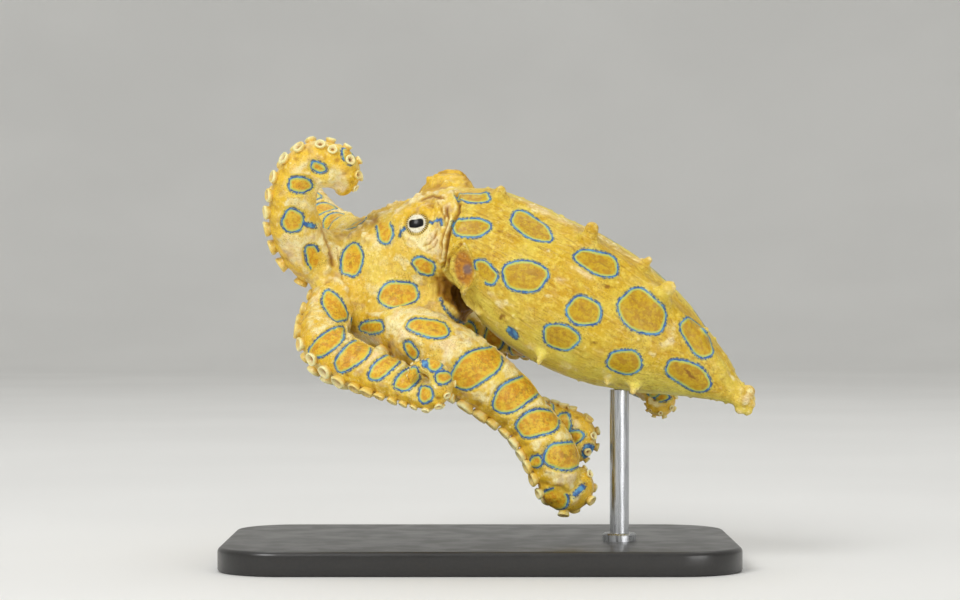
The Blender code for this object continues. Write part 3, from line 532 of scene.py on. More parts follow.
class Arm:
    """An arm's middle line, its radius and the way its suckers face, by length."""

    STEP = 0.1

    def __init__(self, arm):
        out = arm_base_direction(arm)
        rows = [
            (*(CROWN_CENTRE + out * ARM_START), ARM_RADIUS, *HEAD_AXIS),
            (*(CROWN_CENTRE + out * ARM_REACH), ARMS[arm][0][3], *HEAD_AXIS),
        ]
        for across, up, away, radius, *oral in ARMS[arm]:
            rows.append((*seen(across, up, away), radius, *unit(oral)))
        curve = spline(rows, (len(rows) - 1) * SPLINE_STEPS + 1)
        tip = TIP_RADIUS.get(arm, LEAST_TIP)
        curve = np.vstack([curve, self.curl(curve, *CURLS[arm], tip)])
        along = np.concatenate([[0.0], np.cumsum(norms(np.diff(curve[:, :3], axis=0)))])
        self.length = along[-1]
        self.lengths = np.arange(0, self.length, self.STEP)
        even = np.stack([np.interp(self.lengths, along, c) for c in curve.T], axis=1)
        self.place = even[:, :3]
        self.radius = even[:, 3]
        self.ahead = units(np.gradient(self.place, axis=0))
        oral = even[:, 4:7]
        self.oral = units(oral - self.ahead * dots(oral, self.ahead)[:, None])
        self.side = np.cross(self.ahead, self.oral)

    @staticmethod
    def curl(curve, start, end, turn, drift, tip):
        """The rows of a narrowing coil that turns away from the suckers' side."""
        place = curve[-1, :3].copy()
        radius = curve[-1, 3]
        ahead = unit(curve[-1, :3] - curve[-2, :3])
        oral = curve[-1, 4:7]
        oral = unit(oral - ahead * np.dot(oral, ahead))
        side = np.cross(ahead, oral)
        count = int(turn / 8)
        rows = []
        for i in range(1, count + 1):
            share = i / count
            angle = math.radians(turn) * share
            bend = start + (end - start) * share
            forward = ahead * math.cos(angle) - oral * math.sin(angle)
            outward = oral * math.cos(angle) + ahead * math.sin(angle)
            place = place + (forward + side * drift) * bend * math.radians(turn) / count
            thickness = radius + (tip - radius) * share ** (1.4 + 1.6 * (tip > 1))
            rows.append((*place, thickness, *outward))
        return np.array(rows)

    def at(self, length):
        """Place, oral, side and radius at a length along the arm."""
        k = np.clip(np.round(np.asarray(length) / self.STEP).astype(int), 0, len(self.lengths) - 1)
        return self.place[k], self.oral[k], self.side[k], self.radius[k]

    def rings(self, every=4):
        angle = np.arange(ARM_SIDES) * 2 * math.pi / ARM_SIDES
        flat = np.where(np.cos(angle) > 0, ORAL_FLAT, 1.0)
        rings = []
        for k in range(0, len(self.lengths), every):
            spokes = (self.oral[k] * (np.cos(angle) * flat)[:, None]
                      + self.side[k] * np.sin(angle)[:, None])
            rings.append(self.place[k] + spokes * self.radius[k])
        for turn in (30, 60, 85):
            turn = math.radians(turn)
            end = self.place[-1] + self.ahead[-1] * self.radius[-1] * math.sin(turn)
            rings.append(end + spokes * self.radius[-1] * math.cos(turn))
        return rings

    def sucker_rows(self):
        """Length along the arm, row and radius of each sucker."""
        rows = []
        length = FIRST_SUCKER
        row = 1
        while length < self.length - 0.2:
            radius = self.at(length)[3]
            size = max(SUCKER_LEAST, SUCKER_SIZE * radius)
            size *= float(smoothstep(1.5, 9.0, length)) * 0.45 + 0.55
            rows.append((length, row, size))
            row = -row
            length += SUCKER_STEP * radius + SUCKER_STEP_LEAST
        return rows


def web_grid(first, second, across=22, along=16):
    """The skin stretched between two arms, as two layers of places."""
    layers = ([], [])
    for i in range(across + 1):
        share = i / across
        reach = WEB_REACH * (1 - WEB_SAG * 4 * share * (1 - share))
        for j in range(along + 1):
            length = reach * j / along
            a, oral_a, _, _ = first.at(length)
            b, oral_b, _, _ = second.at(length)
            oral = unit(oral_a * (1 - share) + oral_b * share)
            place = a * (1 - share) + b * share
            thick = WEB_THICKNESS * (1 - 0.45 * j / along)
            for layer, side in zip(layers, (-0.5, 0.5)):
                layer.append(place + oral * thick * side)
    points = np.array(layers[0] + layers[1])
    n = along + 1
    half = len(layers[0])
    faces = []
    for i in range(across):
        for j in range(along):
            quad = (i * n + j, (i + 1) * n + j, (i + 1) * n + j + 1, i * n + j + 1)
            faces.append(quad[::-1])
            faces.append(tuple(q + half for q in quad))
    edge = [(i * n, (i + 1) * n) for i in range(across)]
    edge += [((i + 1) * n + along, i * n + along) for i in range(across)]
    edge += [(j + 1, j) for j in range(along)]
    edge += [(across * n + j, across * n + j + 1) for j in range(along)]
    faces += [(a, b, b + half, a + half) for a, b in edge]
    return points, faces


def eye_frame(name):
    """Middle of an eye, and its own axes: along the pupil toward the neck, up, out."""
    place, out = EYES[name]
    out = unit(out)
    along = unit(np.array(-NECK_AXIS) - out * np.dot(-NECK_AXIS, out))
    if name == "eye_left":
        along = unit(np.array((1.0, 0.0, 0.05)) - out * np.dot((1.0, 0.0, 0.05), out))
    up = np.cross(out, along)
    up = up if up[2] > 0 else -up
    return seen(*place), along, up, out


def mantle_core(rings):
    """The mantle with its papillae, each a bulb on a flared stalk."""
    soup = Soup().loft(rings)
    flat = np.concatenate(rings)
    for across, up, width, length in PAPILLAE:
        line = np.array([seen(across, up, away) for away in np.arange(-14.0, 6.0, 0.1)])
        gaps = np.array([np.min(norms(flat - point)) for point in line])
        near = np.flatnonzero(gaps < length)
        head = line[near[0] if len(near) else int(np.argmin(gaps))]
        root = flat[int(np.argmin(norms(flat - head)))]
        first, second, _ = axes_from(head - root)
        soup.loft([circle(root + (head - root) * share, first, second, half * width, 28)
                   for share, half in STALK_PROFILE])
        soup.ball(head, (width,) * 3, np.eye(3))
    return soup


def head_core(rings, arms):
    """The head with the mounds of the eyes, the webs and the roots of the arms."""
    soup = Soup().loft(rings)
    for name, arm in arms.items():
        soup.loft(arm.rings()[: int(ROOT_REACH.get(name, USUAL_ROOT) / 0.4)])
    for a, b in zip(ARM_ORDER, ARM_ORDER[1:] + ARM_ORDER[:1]):
        soup.add(*web_grid(arms[a], arms[b]))
    for name in EYES:
        centre, *axes = eye_frame(name)
        for back, up, halves in EYE_MOUNDS:
            soup.ball(centre - axes[2] * back + axes[1] * up, halves, axes, 40, 24)
    for place, halves in SHOULDERS:
        soup.ball(seen(*place), halves, axes_from(HEAD_AXIS))
    return soup


def funnel_rings():
    """The funnel's tube, out along its path and back in through its bore."""
    last = FUNNEL_STEPS - 1
    curve = spline([(*seen(*row[:3]), row[3]) for row in FUNNEL_PATH], FUNNEL_STEPS)
    rings = []
    for k, inset in [(k, 0.0) for k in range(FUNNEL_STEPS)] + list(FUNNEL_BORE):
        ahead = curve[min(k + 1, last), :3] - curve[max(k - 1, 0), :3]
        half = curve[k, 3] - inset
        rings.append(section(curve[k, :3], ahead, HEAD_BACK, half, half, half, 40))
    return rings


def flap_frame():
    """Middle and axes of the mantle's free edge: across, up and out."""
    place, facing = FLAP_PLACE
    facing = unit(facing)
    up = unit(np.array((0.0, 0.0, 1.0)) - facing * facing[2])
    return seen(*place), (np.cross(up, facing), up, facing)


def build_soup(arms):
    """All the forms of the body, and which form and ring each face belongs to."""
    soup = Soup()
    spans = []

    def mark(form, sides=0):
        spans.append((form, sides, len(soup.faces)))

    mantle_curve, mantle_rings = body_rings(MANTLE_STATIONS, MANTLE_BACK, 150)
    head_curve, head_rings = body_rings(HEAD_STATIONS, HEAD_BACK, 90)
    soup.add(*filleted(mantle_core(mantle_rings), *MANTLE_FILLET))
    for place, size in KNOB_LUMPS:
        soup.ball(seen(*place), (size,) * 3, np.eye(3))
    mark("mantle")
    soup.add(*filleted(head_core(head_rings, arms), *HEAD_FILLET))
    mark("head")
    for name, arm in arms.items():
        soup.loft(arm.rings())
        mark(name, ARM_SIDES)
    bend = Soup().loft(arms["left_1"].rings())
    place, halves = CURL_LUMP
    bend.ball(seen(*place), halves, np.eye(3)[[0, 2, 1]])
    soup.add(*filleted(bend, *CURL_FILLET))
    mark("left_1")
    for name in EYES:
        centre, *axes = eye_frame(name)
        soup.torus(centre + axes[2] * LID_RISE, axes, LID_REACH, LID_THICKNESS, 1.04)
    soup.torus(CROWN_CENTRE + HEAD_AXIS * LIP_RISE, axes_from(HEAD_AXIS), LIP_REACH, LIP_THICKNESS)
    mark("head")
    soup.loft(funnel_rings())
    mark("funnel")
    place, axes = flap_frame()
    soup.ball(place, FLAP_SIZE, axes, 48, 28)
    mark("mantle")
    return soup, spans, {"mantle": mantle_curve, "head": head_curve}


def remeshed(obj, size):
    """The union of an object's forms as one even mesh."""
    modifier = obj.modifiers.new("union", "REMESH")
    modifier.mode = "VOXEL"
    modifier.voxel_size = size
    modifier.adaptivity = 0.0
    bpy.context.view_layer.update()
    mesh = bpy.data.meshes.new_from_object(obj.evaluated_get(bpy.context.evaluated_depsgraph_get()))
    bpy.data.objects.remove(obj)
    return mesh


def outer_part(mesh, name):
    """The largest connected part, without what closed off hollows leave inside."""
    ends = get_edges(mesh).T
    label = np.arange(len(mesh.vertices))
    before = None
    while not np.array_equal(label, before):
        before = label.copy()
        low = np.minimum(*label[ends])
        for end in ends:
            np.minimum.at(label, end, low)
        label = label[label]
        label = label[label]
    kept = label == np.bincount(label).argmax()
    number = np.cumsum(kept) - 1
    faces = [number[list(p.vertices)].tolist() for p in mesh.polygons if kept[p.vertices[0]]]
    outer = bpy.data.meshes.new(name)
    outer.from_pydata(get_points(mesh)[kept], [], faces)
    outer.update()
    return outer


def filleted(soup, size, amount):
    """The union of the forms with its hollows rounded: swollen by the amount, made one
    again and shrunk back. Returns points and faces."""
    mesh = remeshed(soup.object("union", 1.0), size)
    for toward in (1, 1, -1, -1):
        points = get_points(mesh)
        edges = get_edges(mesh)
        normals = get_normals(mesh)
        for _ in range(3):
            normals = neighbour_mean(normals, edges, len(points))
        points += normals / (norms(normals)[:, None] + 1e-9) * amount * toward / 2
        for _ in range(2):
            points += (neighbour_mean(points, edges, len(points)) - points) * 0.5
        set_points(mesh, points)
        if toward > 0:
            mesh = remeshed(add_object("union", mesh), size)
    return get_points(mesh), [tuple(p.vertices) for p in mesh.polygons]


def read(items, field, size=3, kind=np.float32):
    """One field of a mesh's items, as rows of numbers."""
    values = np.empty(len(items) * size, kind)
    items.foreach_get(field, values)
    return values.reshape(-1, size)


def get_points(mesh):
    return read(mesh.vertices, "co").astype(float)


def set_points(mesh, points):
    mesh.vertices.foreach_set("co", points.astype(np.float32).ravel())
    mesh.update()


def get_normals(mesh):
    return read(mesh.vertex_normals, "vector").astype(float)


def get_edges(mesh):
    return read(mesh.edges, "vertices", 2, np.int32)


def neighbour_mean(values, edges, count):
    """The mean of each vertex's neighbours, for one column or several."""
    a, b = edges.T
    degree = np.bincount(a, minlength=count) + np.bincount(b, minlength=count)
    columns = values.T if values.ndim > 1 else [values]
    sums = [np.bincount(a, c[b], count) + np.bincount(b, c[a], count) for c in columns]
    means = [s / np.maximum(degree, 1) for s in sums]
    return np.stack(means, axis=1) if values.ndim > 1 else means[0]


def put(mesh, name, values):
    """Stores one number for each vertex."""
    attribute = mesh.attributes.new(name, "FLOAT", "POINT")
    attribute.data.foreach_set("value", np.asarray(values, np.float32))


def angle_round(out, zero, side):
    return np.arctan2(dots(out, side), dots(out, zero))


class Surface:
    """The skin's vertices in millimetres, with the form each belongs to and where on it."""

    def __init__(self, mesh, soup, spans, arms, curves):
        self.mesh = mesh
        self.points = get_points(mesh)
        self.normals = get_normals(mesh)
        self.edges = get_edges(mesh)
        self.count = len(self.points)
        self.arms = arms
        self.curves = curves
        self.find_forms(soup, spans)
        self.along = np.zeros(self.count)
        self.angle = np.zeros(self.count)
        self.radius = np.ones(self.count)
        self.find_on_arms()
        self.find_on_bodies()
        self.tree = bvh(mesh)

    def mean(self, values):
        return neighbour_mean(values, self.edges, self.count)

    def find_forms(self, soup, spans):
        """The nearest form, and the ring of it, for each vertex."""
        names, sides, ends = zip(*spans)
        self.names = sorted(set(names))
        places = [Vector(p) for p in np.concatenate(soup.points)]
        tree = BVHTree.FromPolygons(places, soup.faces)
        hits = np.array([tree.find_nearest(p)[2] for p in self.points.tolist()])
        span = np.searchsorted(ends, hits, side="right")
        self.form = np.array([self.names.index(name) for name in names])[span]
        starts = np.array((0, *ends[:-1]))[span]
        sides = np.array(sides)[span]
        self.ring = np.where(sides > 0, (hits - starts) // np.maximum(sides, 1), -1)

    def on(self, form):
        return self.form == self.names.index(form)

    def find_on_arms(self):
        """Length along each arm, and the angle round it from the suckers' side."""
        for name, arm in self.arms.items():
            here = np.flatnonzero(self.on(name))
            points = self.points[here]
            last = len(arm.lengths) - 1
            nearest = [int(np.argmin(np.sum((arm.place - q) ** 2, axis=1))) if r < 0 else r * 4
                       for q, r in zip(points, self.ring[here])]
            k = np.clip(nearest, 0, last)
            for _ in range(3):
                step = dots(points - arm.place[k], arm.ahead[k]) / arm.STEP
                k = np.clip(k + np.clip(np.round(step), -6, 6).astype(int), 0, last)
            out = points - arm.place[k]
            self.along[here] = arm.lengths[k] + dots(out, arm.ahead[k])
            self.angle[here] = angle_round(out, arm.oral[k], arm.side[k])
            self.radius[here] = arm.radius[k]

    def find_on_bodies(self):
        """The same on the mantle and the head, with the angle from the back."""
        for name, curve in self.curves.items():
            here = np.flatnonzero(self.on(name))
            points = self.points[here]
            axis = units(curve[:, 6:9])
            back = units(curve[:, 9:12] - axis * dots(curve[:, 9:12], axis)[:, None])
            length = np.concatenate([[0.0], np.cumsum(norms(np.diff(curve[:, :3], axis=0)))])
            k = np.empty(len(points), int)
            for start in range(0, len(points), 20000):
                part = points[start : start + 20000]
                gap = (part**2).sum(1)[:, None] - 2 * part @ curve[:, :3].T
                k[start : start + 20000] = np.argmin(gap + (curve[:, :3] ** 2).sum(1), axis=1)
            out = points - curve[k, :3]
            self.along[here] = length[k] + dots(out, axis[k])
            self.angle[here] = angle_round(out, back[k], np.cross(axis, back)[k])

    def hit(self, start, toward):
        """Nearest place and vertex that a line meets from outside."""
        place, _, face, _ = self.tree.ray_cast(Vector(start), Vector(unit(toward)))
        if place is None:
            return None
        corners = list(self.mesh.polygons[face].vertices)
        nearest = int(np.argmin(norms(self.points[corners] - np.array(place))))
        return np.array(place), corners[nearest]


def bvh(mesh):
    return BVHTree.FromPolygons([v.co for v in mesh.vertices],
                                [tuple(p.vertices) for p in mesh.polygons])


class Marks:
    """Distance from the nearest blue line and depth inside the nearest ring."""

    def __init__(self, surface):
        self.surface = surface
        self.line = np.full(surface.count, FAR)
        self.inside = np.full(surface.count, -FAR)
        self.rings = {}
        self.eye = np.array((0.0, PLANE_Y - VIEW_DISTANCE, EYE_HEIGHT))
        normals = surface.normals
        for _ in range(12):
            normals = surface.mean(normals)
        self.normals = units(normals)

    def add(self, here, signed, penalty=0.0):
        """A ring, from each vertex's signed distance to its line."""
        self.line[here] = np.minimum(self.line[here], np.abs(signed) + penalty)
        self.inside[here] = np.maximum(self.inside[here], -signed)

    def seen(self, across, up, half, width, tilt, *opening, spot=False):
        """A ring or a solid spot drawn as the viewer sees it, on the form that it meets."""
        s = self.surface
        middle = np.array((across, up))
        halves = np.array((half, width))
        turn = math.radians(tilt)
        turned = np.array(((math.cos(turn), -math.sin(turn)), (math.sin(turn), math.cos(turn))))
        phase = across * 1.7 + up
        found = s.hit(self.eye, seen(across, up, 0.0) - self.eye)
        if found is None:
            return
        place, vertex = found
        form = s.names[s.form[vertex]]
        here = np.flatnonzero((norms(s.points - place) < max(halves) * 2.4 + 1.5)
                              & (self.normals @ unit(self.eye - place) > 0.02) & s.on(form))

        def reach(points):
            u, v = ((as_seen(points)[:, :2] - middle) @ turned / halves).T
            angle = np.arctan2(v, u)
            wobble = 0.035 * np.sin(3 * angle + phase) + 0.03 * np.sin(5 * angle + 2 * phase)
            wobble += 0.03 * np.sin(2 * angle + 3 * phase)
            return (np.abs(u) ** 2.25 + np.abs(v) ** 2.25) ** (1 / 2.25) / (1 + wobble)

        points = s.points[here]
        value = reach(points)
        slope = [(reach(points + step) - value) / SLOPE_STEP for step in SLOPE_STEP * np.eye(3)]
        slope = np.stack(slope, axis=1)
        slope -= self.normals[here] * dots(slope, self.normals[here])[:, None]
        signed = (value - 1) / np.maximum(norms(slope), 0.12)
        if spot:
            self.line[here] = np.minimum(self.line[here], np.maximum(signed, 0.0))
            return
        penalty = 0.0
        if opening:
            off = as_seen(points)[:, :2] - middle
            off = np.degrees(np.arctan2(off[:, 1], off[:, 0])) - opening[0]
            off = np.abs((off + 180) % 360 - 180)
            penalty = 1.5 * (1 - smoothstep(opening[1] - 8, opening[1] + 8, off))
        self.add(here, signed, penalty)
        self.rings.setdefault(form, []).append(s.along[vertex])

    def around(self, form, place, normal, ahead, halves, length=None):
        """A ring drawn on the surface itself, longer or shorter along the form."""
        s = self.surface
        normal = unit(normal)
        ahead = unit(ahead - normal * np.dot(ahead, normal))
        near = (norms(s.points - place) < max(halves) * 1.7 + 1.2) & s.on(form)
        near &= self.normals @ normal > -0.35
        if length is not None:
            near &= np.abs(s.along - length) < halves[0] * 1.6 + 0.5
        here = np.flatnonzero(near)
        out = s.points[here] - place
        u = out @ ahead
        v = out @ np.cross(normal, ahead)
        v = np.sign(v) * np.hypot(v, out @ normal * 0.8)
        angle = np.arctan2(v / halves[1], u / halves[0])
        phase = float(place @ (1.3, 0.7, 0.9))
        wobble = 0.05 * np.sin(3 * angle + phase) + 0.04 * np.sin(2 * angle + 2 * phase)
        r = np.hypot(u / halves[0], v / halves[1]) / (1 + wobble)
        self.add(here, (r - 1) * np.hypot(halves[0] * np.cos(angle), halves[1] * np.sin(angle)))


def path_distance(points, path):
    """How far each flat point is from a path of straight stretches."""
    gap = np.full(len(points), 9.0)
    for a, b in zip(path, path[1:]):
        a, b = np.array(a), np.array(b)
        t = np.clip((points - a) @ (b - a) / np.dot(b - a, b - a), 0, 1)
        gap = np.minimum(gap, np.linalg.norm(points - a - t[:, None] * (b - a), axis=1))
    return gap


def draw_body_rings(marks, form, rows):
    """Rings on the sides of the mantle or the head that the viewer doesn't see."""
    surface = marks.surface
    curve = surface.curves[form]
    for position, angle, *halves in rows:
        if form == "mantle":
            k = int(np.argmin(np.abs(curve[:, 0] - position)))
        else:
            k = int(np.argmin(norms(curve[:, :3] - (CROWN_CENTRE - HEAD_AXIS * position))))
        axis = unit(curve[k, 6:9])
        back = unit(curve[k, 9:12] - axis * np.dot(curve[k, 9:12], axis))
        side = np.cross(axis, back) * (1 if form == "mantle" else -1)
        turn = math.radians(angle)
        out = back * math.cos(turn) + side * math.sin(turn)
        found = surface.hit(curve[k, :3] + out * 30, -out)
        if found and surface.names[surface.form[found[1]]] == form:
            marks.around(form, found[0], marks.normals[found[1]], axis, halves)


def draw_arm_rings(marks, name, arm):
    """Rings along an arm, but not where the viewer sees rings of their own."""
    drawn = any(length > FIRST_OUTER_RING for length in marks.rings.get(name, []))
    length = FIRST_ARM_RING
    number = 0
    while length < arm.length - 2.2:
        place, oral, side, radius = arm.at(length)
        ahead = arm.ahead[int(length / arm.STEP)]
        step = float(np.clip(ARM_RING_STEP * radius / 3, 1.35, ARM_RING_STEP))
        halves = (min(1.35, 0.34 * step), min(radius * 0.72, 2.0))
        for turn in (112, -112) if radius > 1.2 else (180,):
            tilt = math.radians(turn + 10 * math.sin(number * 2.1))
            out = oral * math.cos(tilt) + side * math.sin(tilt)
            if not drawn or np.dot(out, unit(marks.eye - place)) <= -0.15:
                marks.around(name, place + out * radius, out, ahead, halves, length)
        length += step
        number += 1


def draw_lines(marks):
    """The pieces of blue line on the web, and the line through each eye."""
    s = marks.surface
    flat = as_seen(s.points)
    front = (s.normals[:, 1] < 0.1) & (flat[:, 2] < 6) & ~s.on("mantle")
    for path in BLUE_PATHS:
        gap = path_distance(flat[:, :2], path) + 0.04
        marks.line = np.where(front, np.minimum(marks.line, gap), marks.line)
    for name in EYES:
        centre, along, up, out = eye_frame(name)
        near = np.flatnonzero(norms(s.points - centre) < 5.5)
        off = s.points[near] - centre
        flat = np.stack([off @ along, off @ up], axis=1)
        for path in EYE_LINES:
            gap = np.maximum(path_distance(flat, path) - 0.04, 0.0)
            gap = np.where(off @ out > -0.5, gap, FAR)
            marks.line[near] = np.minimum(marks.line[near], gap)


def draw_marks(surface):
    marks = Marks(surface)
    for row in SEEN_RINGS:
        marks.seen(*row)
    for row in SEEN_SPOTS:
        marks.seen(*row, spot=True)
    draw_body_rings(marks, "mantle", MANTLE_RINGS)
    draw_body_rings(marks, "head", HEAD_RINGS)
    for name, arm in surface.arms.items():
        draw_arm_rings(marks, name, arm)
    draw_lines(marks)
    return marks


def shape_skin(surface, marks):
    """The vertices moved for folds, bands, wrinkles and small papillae, the places that
    streaks follow, and the masks of the colours, painted shade and painted light among them."""
    s = surface
    p = s.points
    n = marks.normals
    move = np.zeros(s.count)
    cream_and_highlight = np.zeros(s.count)
    dark_and_shade = np.zeros(s.count)
    yellow = np.zeros(s.count)
    shift = np.zeros((s.count, 3))

    flat = as_seen(p)[:, :2]
    facing_viewer = n[:, 1] < 0.2
    from_right_eye = norms(p - seen(*EYES["eye_right"][0]))
    fold_across, fold_up = np.array(NECK_FOLD).T
    beyond = flat[:, 0] - np.interp(flat[:, 1], fold_up, fold_across)
    by_neck = facing_viewer & (flat[:, 1] > 4.4) & (flat[:, 1] < 13.0) & (np.abs(beyond) < 3.0)
    on_mantle = s.on("mantle") & ~(by_neck & (beyond < 0))
    on_mantle |= s.on("head") & by_neck & (beyond > 0)
    on_head = (s.on("head") | s.on("funnel") | s.on("mantle")) & ~on_mantle
    on_arm = ~(on_mantle | on_head)
    open_skin = 1 - smoothstep(-0.3, 0.5, marks.inside)

    # Painted shade in the creases and painted light on the crests
    sunk = p.copy()
    for _ in range(36):
        sunk += (s.mean(sunk) - sunk) * 0.5
    hollow = dots(sunk - p, n)
    dark_and_shade += smoothstep(0.03, 0.3, hollow) * 0.75
    cream_and_highlight += smoothstep(0.04, 0.22, -hollow) * 0.35 * ~on_arm

    # Long wrinkles on the mantle, with painted shade in their troughs
    stretched = p - np.outer(p @ MANTLE_AXIS, MANTLE_AXIS) * 0.86
    wrinkle = noise(stretched, 0.55, 3) + 0.5 * noise(stretched, 0.28, 4)
    move += 0.045 * wrinkle * (0.35 + 0.65 * open_skin) * on_mantle
    shade = smoothstep(0.25, 1.0, -wrinkle) * 0.42 * (0.4 + 0.6 * open_skin)
    dark_and_shade += shade * on_mantle
    broad = noise(stretched, 2.6, 9) + 0.5 * noise(p, 1.3, 10)
    move += 0.10 * broad * open_skin * on_mantle
    cream_and_highlight += smoothstep(0.45, 1.0, broad) * 0.55 * open_skin * on_mantle

    # Grains of the head and the arms
    grain = noise(p, 0.42, 5) + 0.6 * noise(p, 0.85, 6)
    move += 0.11 * grain * (0.35 + 0.65 * open_skin) * on_head
    move += 0.05 * grain * on_arm
    lumps = noise(p, 1.9, 7) + 0.5 * noise(p, 0.9, 8)
    cream_and_highlight += (0.16 + smoothstep(0.0, 1.0, lumps) * 0.55) * open_skin * on_head
    dark_and_shade += smoothstep(0.35, 1.1, -lumps) * 0.45 * open_skin * on_head
    dark_and_shade += smoothstep(0.4, 1.1, -grain) * 0.3 * on_arm

    # Folds round the neck, with painted shade in their troughs and painted light along their lips
    neck = seen(*NECK_FACE)
    back = (p - neck) @ NECK_AXIS
    fold = bell(back - 0.9, 1.7) * on_head
    left = -((p - neck) @ RIGHT)
    fold *= 0.25 + 0.75 * smoothstep(-1.0, 2.0, left)
    fold *= smoothstep(3.0, 4.6, from_right_eye)
    ripple = np.cos(2 * math.pi * back / 0.66 + 2.6 * noise(p, 2.6, 11))
    fold *= np.where(facing_viewer, 0.35, 1.0)
    move += 0.15 * ripple * fold
    dark_and_shade += smoothstep(0.1, 1.0, -ripple) * 0.55 * fold
    bend = np.stack([noise(p, 0.9, 22), noise(p, 0.9, 23)], axis=1) * 0.1
    for path, depth, half in FOLDS:
        gap = path_distance(flat + bend, path)
        reach = facing_viewer & (gap < 2.0) & (~on_arm | (flat[:, 0] < -12))
        edges = bell(gap - half * 2.2, half * 1.3)
        move += reach * depth * (0.45 * edges - bell(gap, half))
        dark_and_shade += reach * bell(gap, half * 1.15) * min(1.0, 0.45 + depth * 1.4)
        cream_and_highlight += reach * 0.3 * bell(gap - half * 2.4, half)

    gap = path_distance(flat + bend, WEB_CREST)
    crest = bell(gap, 0.4) * facing_viewer * ~on_mantle * (p[:, 1] < 4)
    move += crest * (0.14 + 0.22 * smoothstep(-0.5, 0.6, noise(p, 0.55, 24)))
    cream_and_highlight += crest * 0.5

    mound = bell(from_right_eye, 6.0, 4) * on_head
    mound *= smoothstep(11.9, 13.6, flat[:, 1])
    dark_and_shade += (0.3 + 0.5 * smoothstep(-0.3, 0.9, noise(p, 0.8, 19))) * mound
    yellow += 0.8 * mound
    cream_and_highlight -= 0.6 * mound
    move += 0.12 * noise(p, 1.1, 20) * mound

    # Lids and the folds round the eyes, with painted shade in the folds
    for name in EYES:
        centre, along, up, out = eye_frame(name)
        off = p - centre
        reach = np.hypot(off @ along, (off @ up) * 1.05)
        height = off @ out
        near = bell(reach - 2.9, 0.8) * (height > -1.5)
        crease = np.cos(2 * math.pi * reach / 0.52 + 1.1 * noise(p, 0.9, 12))
        move += 0.03 * crease * near
        dark_and_shade += smoothstep(0.3, 1.0, -crease) * 0.25 * near
        above = smoothstep(0.0, 1.5, off @ up) * (reach < 4.2) * (reach > 1.3) * (height > -2)
        above *= 1 - smoothstep(2.6, 4.2, reach)
        yellow += above
        cream_and_highlight -= above * 0.7
        below = smoothstep(0.2, 1.8, -(off @ up)) * (1 - smoothstep(2.0, 4.4, reach))
        below *= smoothstep(-3.4, -1.0, height)
        cream_and_highlight += below * 0.3
        dark_and_shade -= (reach < 2.4) * 0.25
        ball = np.sqrt(np.maximum(EYE_RADIUS**2 - reach**2, 0.0))
        sink = (1 - smoothstep(1.38, 1.68, reach)) * (height > 0)
        shift += out * (np.minimum(0.0, ball - 0.35 - height) * sink)[:, None]

    # Arms: raised cream bands between the rings, and yellow scallops by the suckers
    for name, arm in s.arms.items():
        here = np.flatnonzero(s.on(name))
        length = s.along[here]
        angle = np.abs(s.angle[here])
        outer = smoothstep(math.radians(60), math.radians(95), angle)
        root = smoothstep(5.0, 9.0, length)
        gap = marks.inside[here]
        band = (1 - smoothstep(-0.6, -0.2, gap)) * root
        bands = noise(np.stack([length * 0.55, angle, angle * 0], axis=1), 0.9, 13)
        patch = smoothstep(-0.55, 0.5, noise(p[here], 1.5, 18) + 0.5 * noise(p[here], 0.6, 21))
        cream_and_highlight[here] += outer * (band * (0.2 + 0.65 * patch) + 0.2 * bands) + 0.08
        ridge = band * (0.75 + 0.5 * noise(p[here], 0.8, 16))
        move[here] += outer * ridge * 0.27 * np.minimum(1.0, s.radius[here] / 2.2)
        rows = arm.sucker_rows()
        lengths = np.array([row[0] for row in rows])
        phase = np.interp(length, lengths, np.arange(len(rows)) * math.pi)
        phase += np.where(s.angle[here] > 0, 0.0, math.pi)
        flank = bell(angle - math.radians(62), math.radians(20)) * root
        scallop = np.cos(phase)
        move[here] += 0.085 * scallop * flank * np.minimum(s.radius[here], 2.6) / 2
        warm = smoothstep(-0.3, 0.6, noise(p[here], 1.7, 25)) * outer
        yellow[here] += (0.8 if name == "left_1" else 0.3) * warm
        cream_and_highlight[here] -= (0.35 if name == "left_1" else 0.0) * warm
        low = 1 - smoothstep(math.radians(62), math.radians(112), angle)
        yellow[here] += low * 0.9 + 0.25 * flank
        # Painted shade in the troughs between the scallops
        dark_and_shade[here] += smoothstep(0.2, 1.0, -scallop) * 0.4 * flank
        dark_and_shade[here] += smoothstep(-0.2, 1.0, noise(p[here], 1.1, 14)) * 0.3 * low
        cream_and_highlight[here] += (1 - smoothstep(0.3, 1.0, angle)) * 0.35

    # The free edge of the mantle: its face is hollow, and its rim is thin
    place, axes = flap_frame()
    u, v, w = ((p - place) @ axis / size for axis, size in zip(axes, FLAP_SIZE))
    face = (w > 0.1) * (w < 2.5) * on_mantle
    leaf = (1 - smoothstep(0.85, 1.05, np.hypot(u, v))) * face
    move += leaf * 0.18 * (1 - np.hypot(u * 0.8, v) ** 2)
    dark_and_shade *= 1 - 0.7 * leaf
    cream_and_highlight *= 1 - 0.7 * leaf
    flap = (1 - smoothstep(0.3, 0.9, np.hypot(u - 0.3, v * 0.95))) * face
    spot = (1 - smoothstep(0.05, 0.42, np.hypot((u - 0.55) * 0.75, (v + 0.06) * 1.2))) * face
    shift -= axes[2] * (flap * 0.35)[:, None]
    rim = bell(path_distance(flat, FLAP_RIM), 0.22) * on_mantle * (n[:, 1] < 0.3)
    move += 0.42 * rim
    yellow += 0.8 * rim
    cream_and_highlight += 0.5 * rim
    dark_and_shade *= 1 - flap
    cream_and_highlight -= flap * 0.9

    # The crest that joins the papillae, with painted shade on the slope behind it
    gap = path_distance(flat, CREST)
    front = on_mantle * (n[:, 1] < 0.1)
    move += 0.42 * bell(gap, 0.65) * front
    slope = smoothstep(-8, -30, np.degrees(s.angle)) * smoothstep(-110, -70, np.degrees(s.angle))
    slope = slope * on_mantle
    dark_and_shade += slope * 0.14

